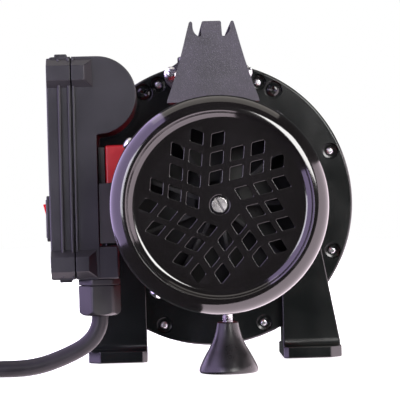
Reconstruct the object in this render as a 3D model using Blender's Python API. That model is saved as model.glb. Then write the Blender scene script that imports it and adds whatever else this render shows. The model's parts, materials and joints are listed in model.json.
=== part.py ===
"""Self-priming jet pump for a garden or a house: a fan-cooled electric motor behind a wet end.

Blender 4.5, metres, +Z up. The shaft lies along Y: the fan cover is at -Y, the suction port at +Y
and the switch box at -X. Every size below is in millimetres, measured from the shaft axis and from
the rear face of the motor bracket, unless its name says it is a height above the floor.
"""

import math

import bmesh
import bpy
from mathutils import Matrix, Vector

MM = 0.001
GAP = 0.3

# Driving dimensions
flange_radius = 89.0
bracket_thickness = 12.0
casing_flange_thickness = 12.0
drum_wall = 6.0
casing_front = 138.0
suction_bore_radius = 16.6
discharge_radius = 18.5
discharge_y = 34.0
discharge_bore_radius = 13.2
filler_bore_radius = 10.3
drain_bore_radius = 6.3
drain_drop = 38.0
bolt_count = 8
bolt_radius = 2.4
thread_clearance = 0.3
foot_inner = 42.5
foot_base_height = 7.3
foot_rear = -16.0
foot_front = 40.0
pillar_rear = -10.0
pillar_front = 16.0
stator_radius = 48.0
fin_height = 2.5
frame_rear = -108.0
cover_wall = 1.2
cover_length = 60.0
dish_depth = 3.2
bearing_radius = 17.5
bearing_width = 11.0
journal_radius = 7.5
impeller_radius = 50.0
impeller_y = 32.0
impeller_width = 12.0
eye_radius = 16.5
handle_plate = 7.0
box_bottom = -41.5
box_top = 87.6
box_rear = -100.0
box_front = -36.0
box_wall = 2.5
half_gasket = 0.6
capacitor_radius = 19.7
wire_y = -62.0
wire_z = 4.0
gland_y = -88.0
cable_radius = 4.85
rear_foot_x = 5.0
rear_foot_height = 29.3
stud_radius = 3.0
switch_y = -73.0
switch_z = -6.0
coil_y = -36.0
coil_radii = (46.0, 56.0)
coil_lift = 1.2

# Sizes that follow from them
FINE, MEDIUM, COARSE, SMALL = 32, 24, 16, 8
shaft_height = flange_radius + 8.5
floor_z = -shaft_height
drum_radius = flange_radius - 12
drum_inner = drum_radius - drum_wall
bolt_circle = flange_radius - 7
handle_screw_circle = flange_radius - 4
foot_outer = flange_radius - 9.8
discharge_top = flange_radius + 6
filler_top = drum_radius + 7
suction_end = casing_front + 27
filler_y = casing_front - 50
nozzle_y = casing_front - 24
drain_face = casing_front + 4
casing_rear = bracket_thickness + GAP
casing_flange_front = casing_rear + casing_flange_thickness
frame_radius = stator_radius + 7.5
fin_tip = frame_radius + fin_height
shield_radius = frame_radius + 2.7
cover_radius = shield_radius + 2.2
dish_radius = cover_radius - 10.4
fan_radius = cover_radius - 7.4
cover_front = frame_rear - 2
cover_rear = cover_front - cover_length
cover_screw_y = cover_front - 6
fan_y = cover_front - 40
rear_bearing_y = frame_rear - 10.7
rear_foot_y = frame_rear + 9
handle_rear = frame_rear + 9
handle_top = flange_radius + 17.4
grip_underside = flange_radius - 1
pedestal_left = -(fin_tip + 5.5)
box_right = pedestal_left - 4.5
box_part = box_right - 14
box_left = box_part - 14.5
bump_radius = capacitor_radius + 3
bump_x = box_right + 0.7
bump_z = box_top - bump_radius
rocker_reach = 4.2
rocker_x = box_left - 0.5
bezel_left = box_left - 2.5
gland_x = box_right - 1
gland_nut_top = box_bottom - 3.9
gland_nut_bottom = gland_nut_top - 17.6
coil_x = gland_x - 134
axis_x = -(rocker_x - rocker_reach + flange_radius) / 2
axis_y = -(cover_rear + suction_end) / 2

for old in list(bpy.data.objects):
    bpy.data.objects.remove(old)

centre = bpy.data.objects.new("shaft_centre", None)
centre.location = Vector((axis_x, axis_y, shaft_height)) * MM
bpy.context.scene.collection.objects.link(centre)


def material(name, colour, rough, metal=0.0):
    """A Principled material of one colour."""
    made = bpy.data.materials.new(name)
    made.use_nodes = True
    shader = made.node_tree.nodes["Principled BSDF"]
    shader.inputs["Base Color"].default_value = (*colour, 1)
    shader.inputs["Roughness"].default_value = rough
    shader.inputs["Metallic"].default_value = metal
    made.diffuse_color = (*colour, 1)
    return made


gloss_black = material("gloss_black_paint", (0.012, 0.014, 0.014), 0.25)
cover_black = material("cover_black_paint", (0.01, 0.01, 0.012), 0.18)
red_paint = material("red_paint", (0.45, 0.006, 0.012), 0.35)
dark_plastic = material("dark_grey_plastic", (0.055, 0.053, 0.062), 0.5)
black_plastic = material("black_plastic", (0.015, 0.016, 0.017), 0.45)
red_plastic = material("red_plastic", (0.6, 0.01, 0.01), 0.3)
white_plastic = material("white_plastic", (0.75, 0.74, 0.7), 0.5)
zinc = material("zinc_plate", (0.75, 0.76, 0.78), 0.3, 1.0)
steel = material("bright_steel", (0.62, 0.62, 0.63), 0.3, 1.0)
lamination = material("lamination_steel", (0.3, 0.3, 0.31), 0.45, 1.0)
copper = material("enamelled_copper", (0.65, 0.25, 0.1), 0.35, 1.0)
aluminium = material("cast_aluminium", (0.6, 0.61, 0.62), 0.45, 1.0)
brass = material("brass", (0.75, 0.55, 0.22), 0.3, 1.0)
ceramic = material("ceramic", (0.85, 0.84, 0.8), 0.2)
rubber = material("black_rubber", (0.02, 0.02, 0.021), 0.6)


def finished(name, bm, mat, place=(0, 0, 0), turn=(0, 0, 0), parent=centre):
    """The bmesh, in millimetres, as an object with its origin at place."""
    bmesh.ops.remove_doubles(bm, verts=bm.verts, dist=1e-4)
    bmesh.ops.recalc_face_normals(bm, faces=bm.faces)
    bmesh.ops.scale(bm, vec=(MM, MM, MM), verts=bm.verts)
    mesh = bpy.data.meshes.new(name)
    bm.to_mesh(mesh)
    bm.free()
    return put(name, mesh, mat, place, turn, parent)


def put(name, mesh, mat, place=(0, 0, 0), turn=(0, 0, 0), parent=centre):
    """An object for the mesh: a helper where it has no material of its own."""
    made = bpy.data.objects.new(name, mesh)
    bpy.context.scene.collection.objects.link(made)
    made.parent = parent
    made.location = Vector(place) * MM
    made.rotation_euler = turn
    if mat:
        mesh.materials.clear()
        mesh.materials.append(mat)
        mesh.shade_smooth()
        mesh.set_sharp_from_angle(angle=math.radians(35))
    else:
        made.hide_render = True
        made.display_type = "WIRE"
    return made


AIM = {
    "x": Matrix.Rotation(math.radians(90), 3, "Y"),
    "y": Matrix.Rotation(math.radians(-90), 3, "X"),
    "z": Matrix.Identity(3),
}


def lathe(name, outline, mat=None, axis="y", steps=MEDIUM, place=(0, 0, 0), turn=(0, 0, 0)):
    """A closed outline of (radius, distance along the axis) spun all the way round."""
    bm = bmesh.new()
    ring = [bm.verts.new((r, 0, h)) for r, h in outline]
    edges = [bm.edges.new((a, b)) for a, b in zip(ring, ring[1:] + ring[:1]) if max(a.co.x, b.co.x) > 0]
    bmesh.ops.spin(
        bm, geom=ring + edges, cent=(0, 0, 0), axis=(0, 0, 1), angle=math.tau, steps=steps, use_merge=True
    )
    bmesh.ops.rotate(bm, cent=(0, 0, 0), matrix=AIM[axis], verts=bm.verts)
    return finished(name, bm, mat, place, turn)


def rod(name, radius, low, high, mat=None, axis="y", steps=COARSE, place=(0, 0, 0), turn=(0, 0, 0)):
    """A plain cylinder along an axis."""
    return lathe(name, [(0, low), (radius, low), (radius, high), (0, high)], mat, axis, steps, place, turn)


def pipe(name, inner, outer, low, high, mat=None, axis="y", steps=COARSE, place=(0, 0, 0)):
    """A plain ring along an axis."""
    return lathe(name, [(inner, low), (outer, low), (outer, high), (inner, high)], mat, axis, steps, place)


def slab(bm, outline, low, high, axis):
    """Adds a prism to the bmesh: the outline is in (x, z) along y, in (y, z) along x, in (x, y) along z."""
    spread = {
        "x": lambda a, b, h: (h, a, b),
        "y": lambda a, b, h: (a, h, b),
        "z": lambda a, b, h: (a, b, h),
    }[axis]
    face = bm.faces.new([bm.verts.new(spread(a, b, low)) for a, b in outline])
    grown = bmesh.ops.extrude_face_region(bm, geom=[face])["geom"]
    moved = [v for v in grown if isinstance(v, bmesh.types.BMVert)]
    bmesh.ops.translate(bm, vec=spread(0, 0, high - low), verts=moved)


def prism(name, outline, low, high, mat=None, axis="y", place=(0, 0, 0), turn=(0, 0, 0)):
    """One prism as an object."""
    bm = bmesh.new()
    slab(bm, outline, low, high, axis)
    return finished(name, bm, mat, place, turn)


def block(name, low, high, mat=None, place=(0, 0, 0), turn=(0, 0, 0)):
    """A box from its low corner to its high corner."""
    (x0, y0, z0), (x1, y1, z1) = low, high
    return prism(name, [(x0, z0), (x1, z0), (x1, z1), (x0, z1)], y0, y1, mat, "y", place, turn)


def combine(target, operation, helpers, solver):
    """One Boolean for each helper."""
    for helper in helpers:
        step = target.modifiers.new(helper.name, "BOOLEAN")
        step.operation = operation
        step.object = helper
        step.solver = solver
    return target


def cut(target, *helpers, solver="EXACT"):
    return combine(target, "DIFFERENCE", helpers, solver)


def join(target, *helpers, solver="EXACT"):
    return combine(target, "UNION", helpers, solver)


def polar(radius, degrees):
    return radius * math.cos(math.radians(degrees)), radius * math.sin(math.radians(degrees))


def hexagon(across_flats, turned=0.0):
    return [polar(across_flats / math.sqrt(3), 60 * k + turned) for k in range(6)]


def scattered(name, outlines, low, high, axis="y"):
    """A helper of several separate prisms."""
    bm = bmesh.new()
    for outline in outlines:
        slab(bm, outline, low, high, axis)
    return finished(name, bm, None)


def bar_at(radius_in, radius_out, width, degrees):
    """The four corners of a straight radial bar."""
    half = width / 2
    c, s = polar(1, degrees)
    corners = [(radius_in, -half), (radius_out, -half), (radius_out, half), (radius_in, half)]
    return [(a * c - b * s, a * s + b * c) for a, b in corners]


# Wet end
def pump_casing():
    groove = casing_rear + 2.7
    front_in = casing_front - 7
    outline = [
        (drum_inner, casing_rear),
        (drum_radius - 1.7, casing_rear),
        (drum_radius - 1.7, groove),
        (drum_radius + 1.7, groove),
        (drum_radius + 1.7, casing_rear),
        (flange_radius, casing_rear),
        (flange_radius, casing_flange_front),
        (drum_radius, casing_flange_front),
        (drum_radius, casing_front - 36),
        (drum_radius - 6, casing_front - 17),
        (drum_radius - 20, casing_front - 4),
        (50, casing_front),
        (23, casing_front),
        (23, suction_end),
        (suction_bore_radius, suction_end),
        (suction_bore_radius, suction_end - 18),
        (14, suction_end - 18),
        (14, front_in),
        (19, front_in),
        (19, nozzle_y - 14),
        (9, nozzle_y - 14),
        (9, nozzle_y - 18),
        (24, nozzle_y - 18),
        (24, front_in),
        (46, front_in),
        (drum_radius - 13, casing_front - 21),
        (drum_inner, casing_front - 38),
    ]
    casing = lathe("pump_casing", outline, gloss_black, steps=FINE)
    wall_middle = drum_inner + 1
    discharge = rod("discharge_boss", discharge_radius, wall_middle, discharge_top, None, "z", COARSE,
                    (0, discharge_y, 0))
    filler = rod("filler_boss", 14, wall_middle, filler_top, None, "z", COARSE, (0, filler_y, 0))
    drain = rod("drain_boss", 11, front_in + 2, drain_face, None, "y", COARSE, (0, 0, -drain_drop))
    # Many of the casing's cuts cross each other, which EXACT leaves open along slivers.
    join(casing, discharge, filler, drain, solver="MANIFOLD")
    cut(
        casing,
        rod("discharge_bore", discharge_bore_radius, 50, discharge_top + 5, None, "z", COARSE,
            (0, discharge_y, 0)),
        rod("filler_bore", filler_bore_radius, 50, filler_top + 5, None, "z", COARSE, (0, filler_y, 0)),
        rod("drain_bore", drain_bore_radius, front_in - 6, drain_face + 5, None, "y", COARSE,
            (0, 0, -drain_drop)),
        rod("nozzle_hole", 6.3, -30, -10, None, "z", SMALL, (0, nozzle_y, 0)),
        scattered("casing_bolt_holes", bolt_holes(bolt_radius + 0.4), casing_rear - 2, casing_flange_front + 2),
        solver="MANIFOLD",
    )


def bolt_angle(k):
    return 22.5 + 360 / bolt_count * k


def bolt_holes(radius):
    holes = []
    for k in range(bolt_count):
        x, z = polar(bolt_circle, bolt_angle(k))
        holes.append([(x + a, z + b) for a, b in (polar(radius, 36 * n) for n in range(10))])
    return holes


def casing_screws():
    head = casing_flange_front + GAP
    outline = [
        (0, 1.5),
        (bolt_radius - 0.6, 1.5),
        (bolt_radius, 2.2),
        (bolt_radius, head),
        (5.0, head),
        (4.8, head + 1.2),
        (4.2, head + 4),
        (0, head + 4),
    ]
    for k in range(bolt_count):
        x, z = polar(bolt_circle, bolt_angle(k))
        lathe(f"casing_screw_{k + 1}", outline, zinc, steps=8, place=(x, 0, z))


def casing_seal():
    y = casing_rear + 1.2
    outline = [(drum_radius + a, y + b) for a, b in (polar(1.25, 60 * n) for n in range(6))]
    lathe("casing_seal", outline, rubber, steps=FINE)


def diffuser():
    front = impeller_y + impeller_width
    outer = impeller_radius + 10
    outline = [
        (13.3, front + 16),
        (21, front + 16),
        (21, front + 6),
        (outer, front + 6),
        (outer, casing_rear + GAP),
        (outer - 3.5, casing_rear + GAP),
        (outer - 3.5, front + 2),
        (eye_radius + 0.8, front + 2),
        (eye_radius + 0.8, front + 5),
        (13.3, front + 5),
    ]
    body = lathe("diffuser", outline, black_plastic)
    outlets = [bar_at(impeller_radius, outer + 6, 10, 60 * k + 15) for k in range(6)]
    cut(body, scattered("outlets", outlets, impeller_y + 1, front - 1))


def ejector():
    start = impeller_y + impeller_width + 7
    end = nozzle_y - 13
    length = end - start
    outline = [
        (10, start),
        (13, start),
        (13, start + length * 0.3),
        (10, start + length * 0.7),
        (14, end - 11),
        (14, end - 5.3),
        (8.7, end - 5.3),
        (8.7, end),
        (6.5, end),
        (5, end - 4),
        (5, end - 11),
    ]
    lathe("ejector_tube", outline, black_plastic, steps=COARSE)
    leg = rod("ejector_nozzle", 6, -27, 5, brass, "z", SMALL, (0, nozzle_y, 0))
    tip_base, tip_end = nozzle_y - 1.4, end + 2
    tip = lathe("nozzle_tip", [(0, tip_base), (5.1, tip_base), (3.4, tip_end), (0, tip_end)], steps=12)
    join(leg, tip, solver="MANIFOLD")
    cut(
        leg,
        rod("nozzle_feed", 3.4, -30, 1.3, None, "z", 10, (0, nozzle_y, 0)),
        rod("nozzle_jet", 2, tip_end - 3, tip_base + 0.5, None, "y", 10),
        solver="MANIFOLD",
    )


def impeller():
    back, front = impeller_y, impeller_y + impeller_width
    hub = [
        (journal_radius - 1.2, back - 4.4),
        (11, back - 4.4),
        (12, back),
        (impeller_radius, back),
        (impeller_radius, back + 1.8),
        (12, back + 2.2),
        (9.5, back + 2.2),
        (9.5, back + 0.5),
        (journal_radius - 1.2, back + 0.5),
    ]
    wheel = lathe("impeller", hub, brass)
    shroud = [
        (13, front - 2),
        (impeller_radius, front - 2),
        (impeller_radius, front),
        (eye_radius, front),
        (eye_radius, front + 3.6),
        (13, front + 3.6),
    ]
    vanes = []
    for k in range(6):
        spine = [(15 + 11.3 * n, 60 * k - 15 * n) for n in range(4)]
        vanes.append([polar(r, a) for r, a in spine] + [polar(r, a + 110 / r) for r, a in reversed(spine)])
    join(wheel, lathe("shroud", shroud), scattered("vanes", vanes, back + 1, front - 1))
    nut = prism("impeller_nut", hexagon(13), back + 2.6, back + 8, zinc)
    cut(nut, rod("nut_bore", 5.1, back, back + 12, None, "y", COARSE))


def shaft_seal():
    pipe("seal_seat", journal_radius, 12.7, 6.3, bracket_thickness, ceramic)
    rear, front = bracket_thickness + GAP, impeller_y - 4.8
    outline = [
        (6.3, rear),
        (10.5, rear),
        (10.5, rear + 3.7),
        (12, rear + 3.7),
        (12, front - 2.2),
        (10, front),
        (6.3, front),
    ]
    lathe("seal_head", outline, rubber, steps=COARSE)


def plugs():
    top = filler_top
    outline = [
        (0, top - 10),
        (10, top - 10),
        (10, top + 1.9),
        (15.5, top + 1.9),
        (15.5, top + 8),
        (14, top + 9.5),
        (0, top + 9.5),
    ]
    plug = lathe("filler_plug", outline, black_plastic, "z", COARSE, (0, filler_y, 0))
    join(plug, block("plug_grip", (-11, -3, top + 8), (11, 3, top + 17), None, (0, filler_y, 0)))
    pipe("filler_seal", filler_bore_radius, 13.5, top + GAP, top + 1.6, rubber, "z", COARSE,
         (0, filler_y, 0))
    face = drain_face
    place = (0, 0, -drain_drop)
    drain = rod("drain_plug", drain_bore_radius - 0.5, face - 9, face + 2.4, black_plastic, "y", COARSE,
                place)
    join(drain, prism("drain_head", hexagon(17), face + 1.9, face + 8, None, "y", place))
    pipe("drain_seal", drain_bore_radius, 9, face + GAP, face + 1.6, rubber, "y", COARSE, place)


# Bracket and feet
def motor_bracket():
    seat = bearing_radius + GAP
    hub_rear = GAP - bearing_width + 1
    outline = [
        (flange_radius, 0),
        (flange_radius, bracket_thickness),
        (13, bracket_thickness),
        (13, 6),
        (8, 6),
        (8, 1.3),
        (seat, 1.3),
        (seat, hub_rear),
        (24, hub_rear - 2),
        (25, 0),
        (stator_radius - 4, 0),
        (stator_radius - 4, -8),
        (stator_radius - 0.1, -8),
        (stator_radius - 0.1, 0),
    ]
    body = lathe("motor_bracket", outline, gloss_black, steps=FINE)
    counterbores = scattered("counterbores", bolt_holes(4.8), -3, 4)
    bolts = scattered("bracket_bolt_holes", bolt_holes(bolt_radius + thread_clearance), -3,
                      bracket_thickness + 3)
    cut(body, bolts, counterbores)
    cut(body, *(rod(f"pilot_{k}", 2.0, -3, 9, None, "y", 10, handle_screw_place(k)) for k in (1, 2)))


def foot(name, side):
    pillar = [
        (foot_inner, floor_z + 2),
        (foot_outer - 0.6, floor_z + 2),
        (foot_outer - 0.8, floor_z + 10),
        (foot_outer - 13.2, -20),
        (foot_outer - 19.2, -13),
        (foot_inner, -30),
    ]
    base = [
        (foot_inner, foot_rear + 2.8),
        (foot_inner + 2.8, foot_rear),
        (foot_outer - 7.3, foot_rear),
        (foot_outer, foot_rear + 7.3),
        (foot_outer, foot_front),
        (foot_inner, foot_front),
    ]
    body = prism(name, [(side * x, z) for x, z in pillar], pillar_rear, pillar_front, gloss_black)
    sole = [(side * x, y) for x, y in base]
    plate = prism(name + "_base", sole, floor_z, floor_z + foot_base_height, None, "z")
    join(body, plate)
    hole_x = side * (foot_inner + foot_outer) / 2
    cut(
        body,
        rod(name + "_flange_room", flange_radius + GAP, -GAP, casing_flange_front + GAP, None, "y", FINE),
        rod(name + "_frame_room", fin_tip + 1.5, -40, 40, None, "y", FINE),
        rod(name + "_bolt_hole", 4.5, floor_z - 5, floor_z + 12, None, "z", SMALL, (hole_x, foot_front - 12, 0)),
    )


# Motor
def rotor():
    outline = [
        (0, cover_rear + 6),
        (4.5, cover_rear + 6),
        (4.5, rear_bearing_y - 5.3),
        (journal_radius, rear_bearing_y - 4.3),
        (journal_radius, rear_bearing_y + bearing_width + 1),
        (9, rear_bearing_y + bearing_width + 2),
        (9, -15),
        (journal_radius, -14),
        (journal_radius, 4),
        (6, 4),
        (6, impeller_y + 0.5),
        (4.8, impeller_y + 1),
        (4.8, impeller_y + 9),
        (0, impeller_y + 9),
    ]
    spindle = lathe("shaft", outline, steel, steps=COARSE)
    slot = block("driver_slot", (-6, cover_rear + 4, -0.7), (6, cover_rear + 7.6, 0.7), None, (0, 0, 0),
                 (0, math.radians(62), 0))
    cut(spindle, slot)
    pipe("rotor_core", 9.3, stator_radius / 2 + 2, frame_rear + 22, -24, lamination)
    ring = [
        (journal_radius + GAP, 0),
        (bearing_radius, 0),
        (bearing_radius, bearing_width),
        (journal_radius + GAP, bearing_width),
    ]
    lathe("rear_bearing", [(r, y + rear_bearing_y) for r, y in ring], steel, steps=COARSE)
    lathe("front_bearing", [(r, y + 1 - bearing_width) for r, y in ring], steel, steps=COARSE)
    pipe("wave_washer", 12, bearing_radius - 0.5, rear_bearing_y - 1.6, rear_bearing_y - GAP, steel)


def stator():
    bore, low, high = stator_radius / 2 + 2.4, frame_rear + 21, -23
    slots = [bar_at(bore + 3, stator_radius - 5, 5, 30 * k) for k in range(12)]
    core = pipe("stator_core", bore, stator_radius, low, high, lamination, "y", FINE)
    cut(core, scattered("slots", slots, low - 3, high + 3))
    coils = [bar_at(bore + 3.3, stator_radius - 5.3, 4.4, 30 * k) for k in range(12)]
    winding = pipe("stator_winding", bore + 2, stator_radius - 4.5, low - 10, low - GAP, copper, "y", MEDIUM)
    front = pipe("front_turns", bore + 2, stator_radius - 4.5, high + GAP, high + 9, None, "y", MEDIUM)
    join(winding, scattered("slot_coils", coils, low - 5, high + 5), front)


def motor_frame():
    body = rod("motor_frame", fin_tip, frame_rear, -GAP, red_paint, "y", FINE)
    foot_place = (rear_foot_x, rear_foot_y, 0)
    join(
        body,
        block("switch_box_pad", (pedestal_left, -96, -20), (-40, -38, 36)),
        block("handle_pad", (-25, handle_rear - 3, 40), (25, handle_rear + 25, fin_tip + 1)),
        rod("rear_foot_boss", 8.0, -fin_tip - 3, -frame_radius + 4, None, "z", COARSE, foot_place),
    )
    cut(
        body,
        rod("stator_room", stator_radius + GAP, -200, 10, None, "y", FINE),
        rod("wire_way", 5, -90, -30, None, "x", SMALL, (0, wire_y, wire_z)),
        rod("stud_hole", stud_radius + thread_clearance, -70, -50.7, None, "z", SMALL, foot_place),
    )


def rear_shield():
    rim, seat = frame_rear - GAP, bearing_radius + GAP
    spigot = stator_radius - 0.1
    outline = [
        (shield_radius, rim),
        (shield_radius, rim - 13),
        (shield_radius - 6.2, rim - 13),
        (shield_radius - 8.2, rim - 8),
        (24, rim - 8),
        (22, rim - 14),
        (8, rim - 14),
        (8, rim - 12.4),
        (seat, rim - 12.4),
        (seat, rim + 4),
        (21, rim + 4),
        (22, rim - 4),
        (44, rim - 4),
        (44, rim + 5),
        (spigot, rim + 5),
        (spigot, rim),
    ]
    body = lathe("rear_shield", outline, aluminium)
    holes = []
    for k in range(4):
        holes.append(rod(f"shield_hole_{k}", 2.0, shield_radius - 6.2, cover_radius + 10, None, "z", 10,
                         (0, cover_screw_y, 0), (0, cover_screw_turn(k), 0)))
    cut(body, *holes)


def cover_screw_turn(k):
    """The turn about Y that lays a local Z axis on the k-th screw's radius."""
    return math.radians(90 - (54 + 90 * k))


def fan():
    hub = [(4.8, fan_y), (11, fan_y), (12, fan_y + 14), (fan_radius - 2, fan_y + 20), (fan_radius - 2, fan_y + 22),
           (4.8, fan_y + 22)]
    blades = [bar_at(9, fan_radius, 2, 40 * k) for k in range(9)]
    join(lathe("fan", hub, black_plastic), scattered("blades", blades, fan_y, fan_y + 21))


def vent_holes():
    """Five leaning fans of eight rhombi, each on a skewed grid."""
    step_u = Vector(polar(10.52, -58.6))
    step_v = Vector(polar(11.6, -131.3))
    half_u, half_v = step_u.normalized() * 3.55, step_v.normalized() * 3.55
    first = Vector(polar(15.04, -47.0))
    grid = [(0, 0), (0, 1), (0, 2), (0, 3), (1, 0), (1, 1), (1, 2), (2, 0)]
    holes = []
    for sector in range(5):
        spin = Matrix.Rotation(math.radians(72 * sector), 2)
        for i, j in grid:
            middle = first + step_u * i + step_v * j
            corners = [middle + half_u + half_v, middle - half_u + half_v,
                       middle - half_u - half_v, middle + half_u - half_v]
            holes.append([tuple(spin @ c) for c in corners])
    return holes


def fan_cover():
    floor, wall = cover_rear + dish_depth, cover_wall
    outside = [
        (cover_radius, cover_front),
        (cover_radius, cover_rear + 11),
        (cover_radius - 1, cover_rear + 6.5),
        (cover_radius - 3.9, cover_rear + 2.6),
        (cover_radius - 7.4, cover_rear + 0.4),
        (dish_radius + 1.4, cover_rear),
        (dish_radius + 0.7, cover_rear + 0.5),
        (dish_radius, floor),
        (5.5, floor),
    ]
    inside = [
        (5.5, floor + wall),
        (dish_radius + wall, floor + wall),
        (dish_radius + wall + 0.5, cover_rear + wall + 0.5),
        (cover_radius - 7.9, cover_rear + wall + 0.7),
        (cover_radius - 3.2, cover_rear + wall + 4.0),
        (cover_radius - wall, cover_rear + wall + 10),
        (cover_radius - wall, cover_front),
    ]
    body = lathe("fan_cover", outside + inside, cover_black, steps=FINE)
    holes = [scattered("vents", vent_holes(), cover_rear, floor + 5)]
    for k in range(4):
        holes.append(rod(f"cover_hole_{k}", 2.1, shield_radius - 6.2, cover_radius + 10, None, "z", 10,
                         (0, cover_screw_y, 0), (0, cover_screw_turn(k), 0)))
    cut(body, *holes)
    head = cover_radius + GAP
    tip = shield_radius - 5.2
    outline = [(0, tip), (1.7, tip), (1.7, head), (3.9, head), (3.9, head + 1.6), (2.9, head + 3.4)]
    outline.append((0, head + 3.9))
    for k in range(4):
        lathe(f"cover_screw_{k + 1}", outline, zinc, "z", SMALL, (0, cover_screw_y, 0),
              (0, cover_screw_turn(k), 0))


# Handle
def handle_screw_place(k):
    x, z = polar(handle_screw_circle, 90 + (15.7 if k == 1 else -15.7))
    return x, 0, z


def mirrored(half):
    """A closed outline from its right half, which runs from the top to the bottom."""
    return half + [(-x, z) for x, z in reversed(half) if x > 0]


def handle():
    top = handle_top
    crown = [
        (0, top),
        (5.6, top),
        (6.1, top - 8.8),
        (7.6, top - 8.8),
        (9.7, top - 7.2),
        (10.9, top - 4.6),
        (11.0, top - 0.8),
        (11.6, top - 0.1),
        (12.6, top - 0.3),
        (13.6, top - 2.8),
        (14.6, top - 6.4),
    ]
    pad_top = fin_tip + 1 + GAP
    leg = crown + [(15.9, top - 11.4), (17.6, top - 17.9), (20.2, top - 26.9), (23.3, top - 36.4)]
    leg += [(26.5, pad_top + 1.7), (27.2, pad_top)]
    grip = crown + [(14.8, top - 9.4), (14.8, grip_underside + 3), (11.8, grip_underside)]
    neck = crown + [(14.8, top - 9.4), (16.5, top - 14.4), (19, top - 18), (27.5, top - 22.4)]
    neck += [(27.5, top - 28.4), (17, top - 40.4)]
    front = -GAP - 7
    body = prism("handle", mirrored(leg), handle_rear, handle_rear + handle_plate, dark_plastic)
    grip_bar = prism("grip", mirrored(grip), handle_rear + 2, front + 2)
    neck_plate = prism("neck", mirrored(neck), front, -GAP)
    sole = block("sole", (-26, handle_rear + 2, pad_top), (26, handle_rear + 22, pad_top + 4))
    join(body, grip_bar, neck_plate, sole)
    cut(body, *(rod(f"screw_way_{k}", 2.3, -20, 5, None, "y", 10, handle_screw_place(k)) for k in (1, 2)))
    head = front - GAP
    outline = [(0, 7), (1.7, 7), (1.7, head), (4, head), (4, head - 1.6), (3, head - 3.2), (0, head - 3.5)]
    for k in (1, 2):
        lathe(f"handle_screw_{k}", outline, zinc, "y", SMALL, handle_screw_place(k))


# Switch box
def screw_boss(name, side, z, left, right, hipped):
    """A boss along X with a trapezoid section that stands off the box's end face."""
    bm = bmesh.new()
    face = box_rear if side < 0 else box_front
    proud = 5.5
    edge = face + side * proud
    section = [(face - side, z - 8), (edge, z - 4), (edge, z + 4), (face - side, z + 8)]
    slab(bm, section, left, right, "x")
    if hipped:
        for v in bm.verts:
            if v.co.x > right - 1 and abs(v.co.y - face) > proud - 1:
                v.co.x -= 5
    return finished(name, bm, None)


def switch_box():
    base_left, cover_right = box_part + half_gasket + GAP, box_part - half_gasket - GAP
    arc = [(bump_x + a, bump_z + b) for a, b in (polar(bump_radius, 90 - 15 * n) for n in range(12))]
    shell = [(base_left, box_bottom), (box_right, box_bottom), (box_right, bump_z - bump_radius)]
    shell += list(reversed(arc)) + [(base_left, box_top)]
    base = prism("box_base", shell, box_rear, box_front, dark_plastic)
    join(base, block("gland_block", (box_right - 2, box_rear, box_bottom), (box_right + 11, -76, -22.5)))
    bosses = [(side, z) for side in (-1, 1) for z in (box_top - 9.6, box_bottom + 9)]
    for n, (side, z) in enumerate(bosses):
        join(base, screw_boss(f"base_boss_{n}", side, z, base_left, box_right - 1, True))
    inner_rear, inner_front = box_rear + box_wall, box_front - box_wall
    low, high = box_bottom + box_wall, box_top - box_wall
    cut(
        base,
        block("base_room", (base_left - 5, inner_rear, low), (box_right - box_wall, inner_front, high)),
        rod("capacitor_room", capacitor_radius + 0.5, inner_rear, inner_front, None, "y", MEDIUM,
            (bump_x, 0, bump_z)),
        block("gland_room", (base_left - 5, inner_rear, low), (box_right + 8.5, -78.5, -25)),
        rod("gland_hole", 8, box_bottom - 5, low + 5, None, "z", COARSE, (gland_x, gland_y, 0)),
        rod("base_wire_hole", 5, -90, -60, None, "x", SMALL, (0, wire_y, wire_z)),
    )
    lid = prism("box_cover", [(box_left, box_bottom), (cover_right, box_bottom), (cover_right, box_top),
                              (box_left + 2, box_top), (box_left, box_top - 3)], box_rear, box_front, dark_plastic)
    for n, (side, z) in enumerate(bosses):
        join(lid, screw_boss(f"cover_boss_{n}", side, z, box_left, cover_right, False))
    cut(
        lid,
        block("cover_room", (box_left + box_wall, inner_rear, low), (cover_right + 5, inner_front, high)),
        block("switch_hole", (box_left - 5, switch_y - 9.8, switch_z - 12),
              (box_left + 5, switch_y + 9.8, switch_z + 12)),
    )
    gasket = block("box_gasket", (box_part - half_gasket, box_rear + 0.7, box_bottom + 0.7),
                   (box_part + half_gasket, box_front - 0.7, box_top - 0.7), rubber)
    cut(gasket, block("gasket_room", (box_part - 5, inner_rear, low), (box_part + 5, inner_front, high)))
    spacer = block("box_spacer", (box_right + GAP, -95, -19), (pedestal_left - GAP, -39, 35), black_plastic)
    cut(spacer, rod("spacer_wire_hole", 6, -80, -50, None, "x", SMALL, (0, wire_y, wire_z)))


def box_contents():
    rod("capacitor", capacitor_radius, box_rear + 5, box_front - 5, white_plastic, "y", MEDIUM,
        (bump_x, 0, bump_z))
    block("terminal_block", (box_right - 12, -76, 12), (box_right - 3.5, -46, 26), white_plastic)
    bezel = block("switch_body", (bezel_left, switch_y - 11, switch_z - 13.4),
                  (box_left - GAP, switch_y + 11, switch_z + 13.4), black_plastic)
    join(bezel, block("switch_core", (box_left - 1, switch_y - 9.4, switch_z - 11.6),
                      (box_left + 10, switch_y + 9.4, switch_z + 11.6)))
    cut(bezel, block("rocker_room", (bezel_left - 5, switch_y - 8.3, switch_z - 10.4),
                     (box_left + 7, switch_y + 8.3, switch_z + 10.4)))
    reach = rocker_reach
    outline = [(-reach, 8.6), (-1.9, 0), (-2.0, -8.6), (1.5, -8.6), (2.5, 0), (1.5, 8.6)]
    prism("switch_rocker", outline, -8, 8, red_plastic, "y", (rocker_x, switch_y, switch_z))


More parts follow.
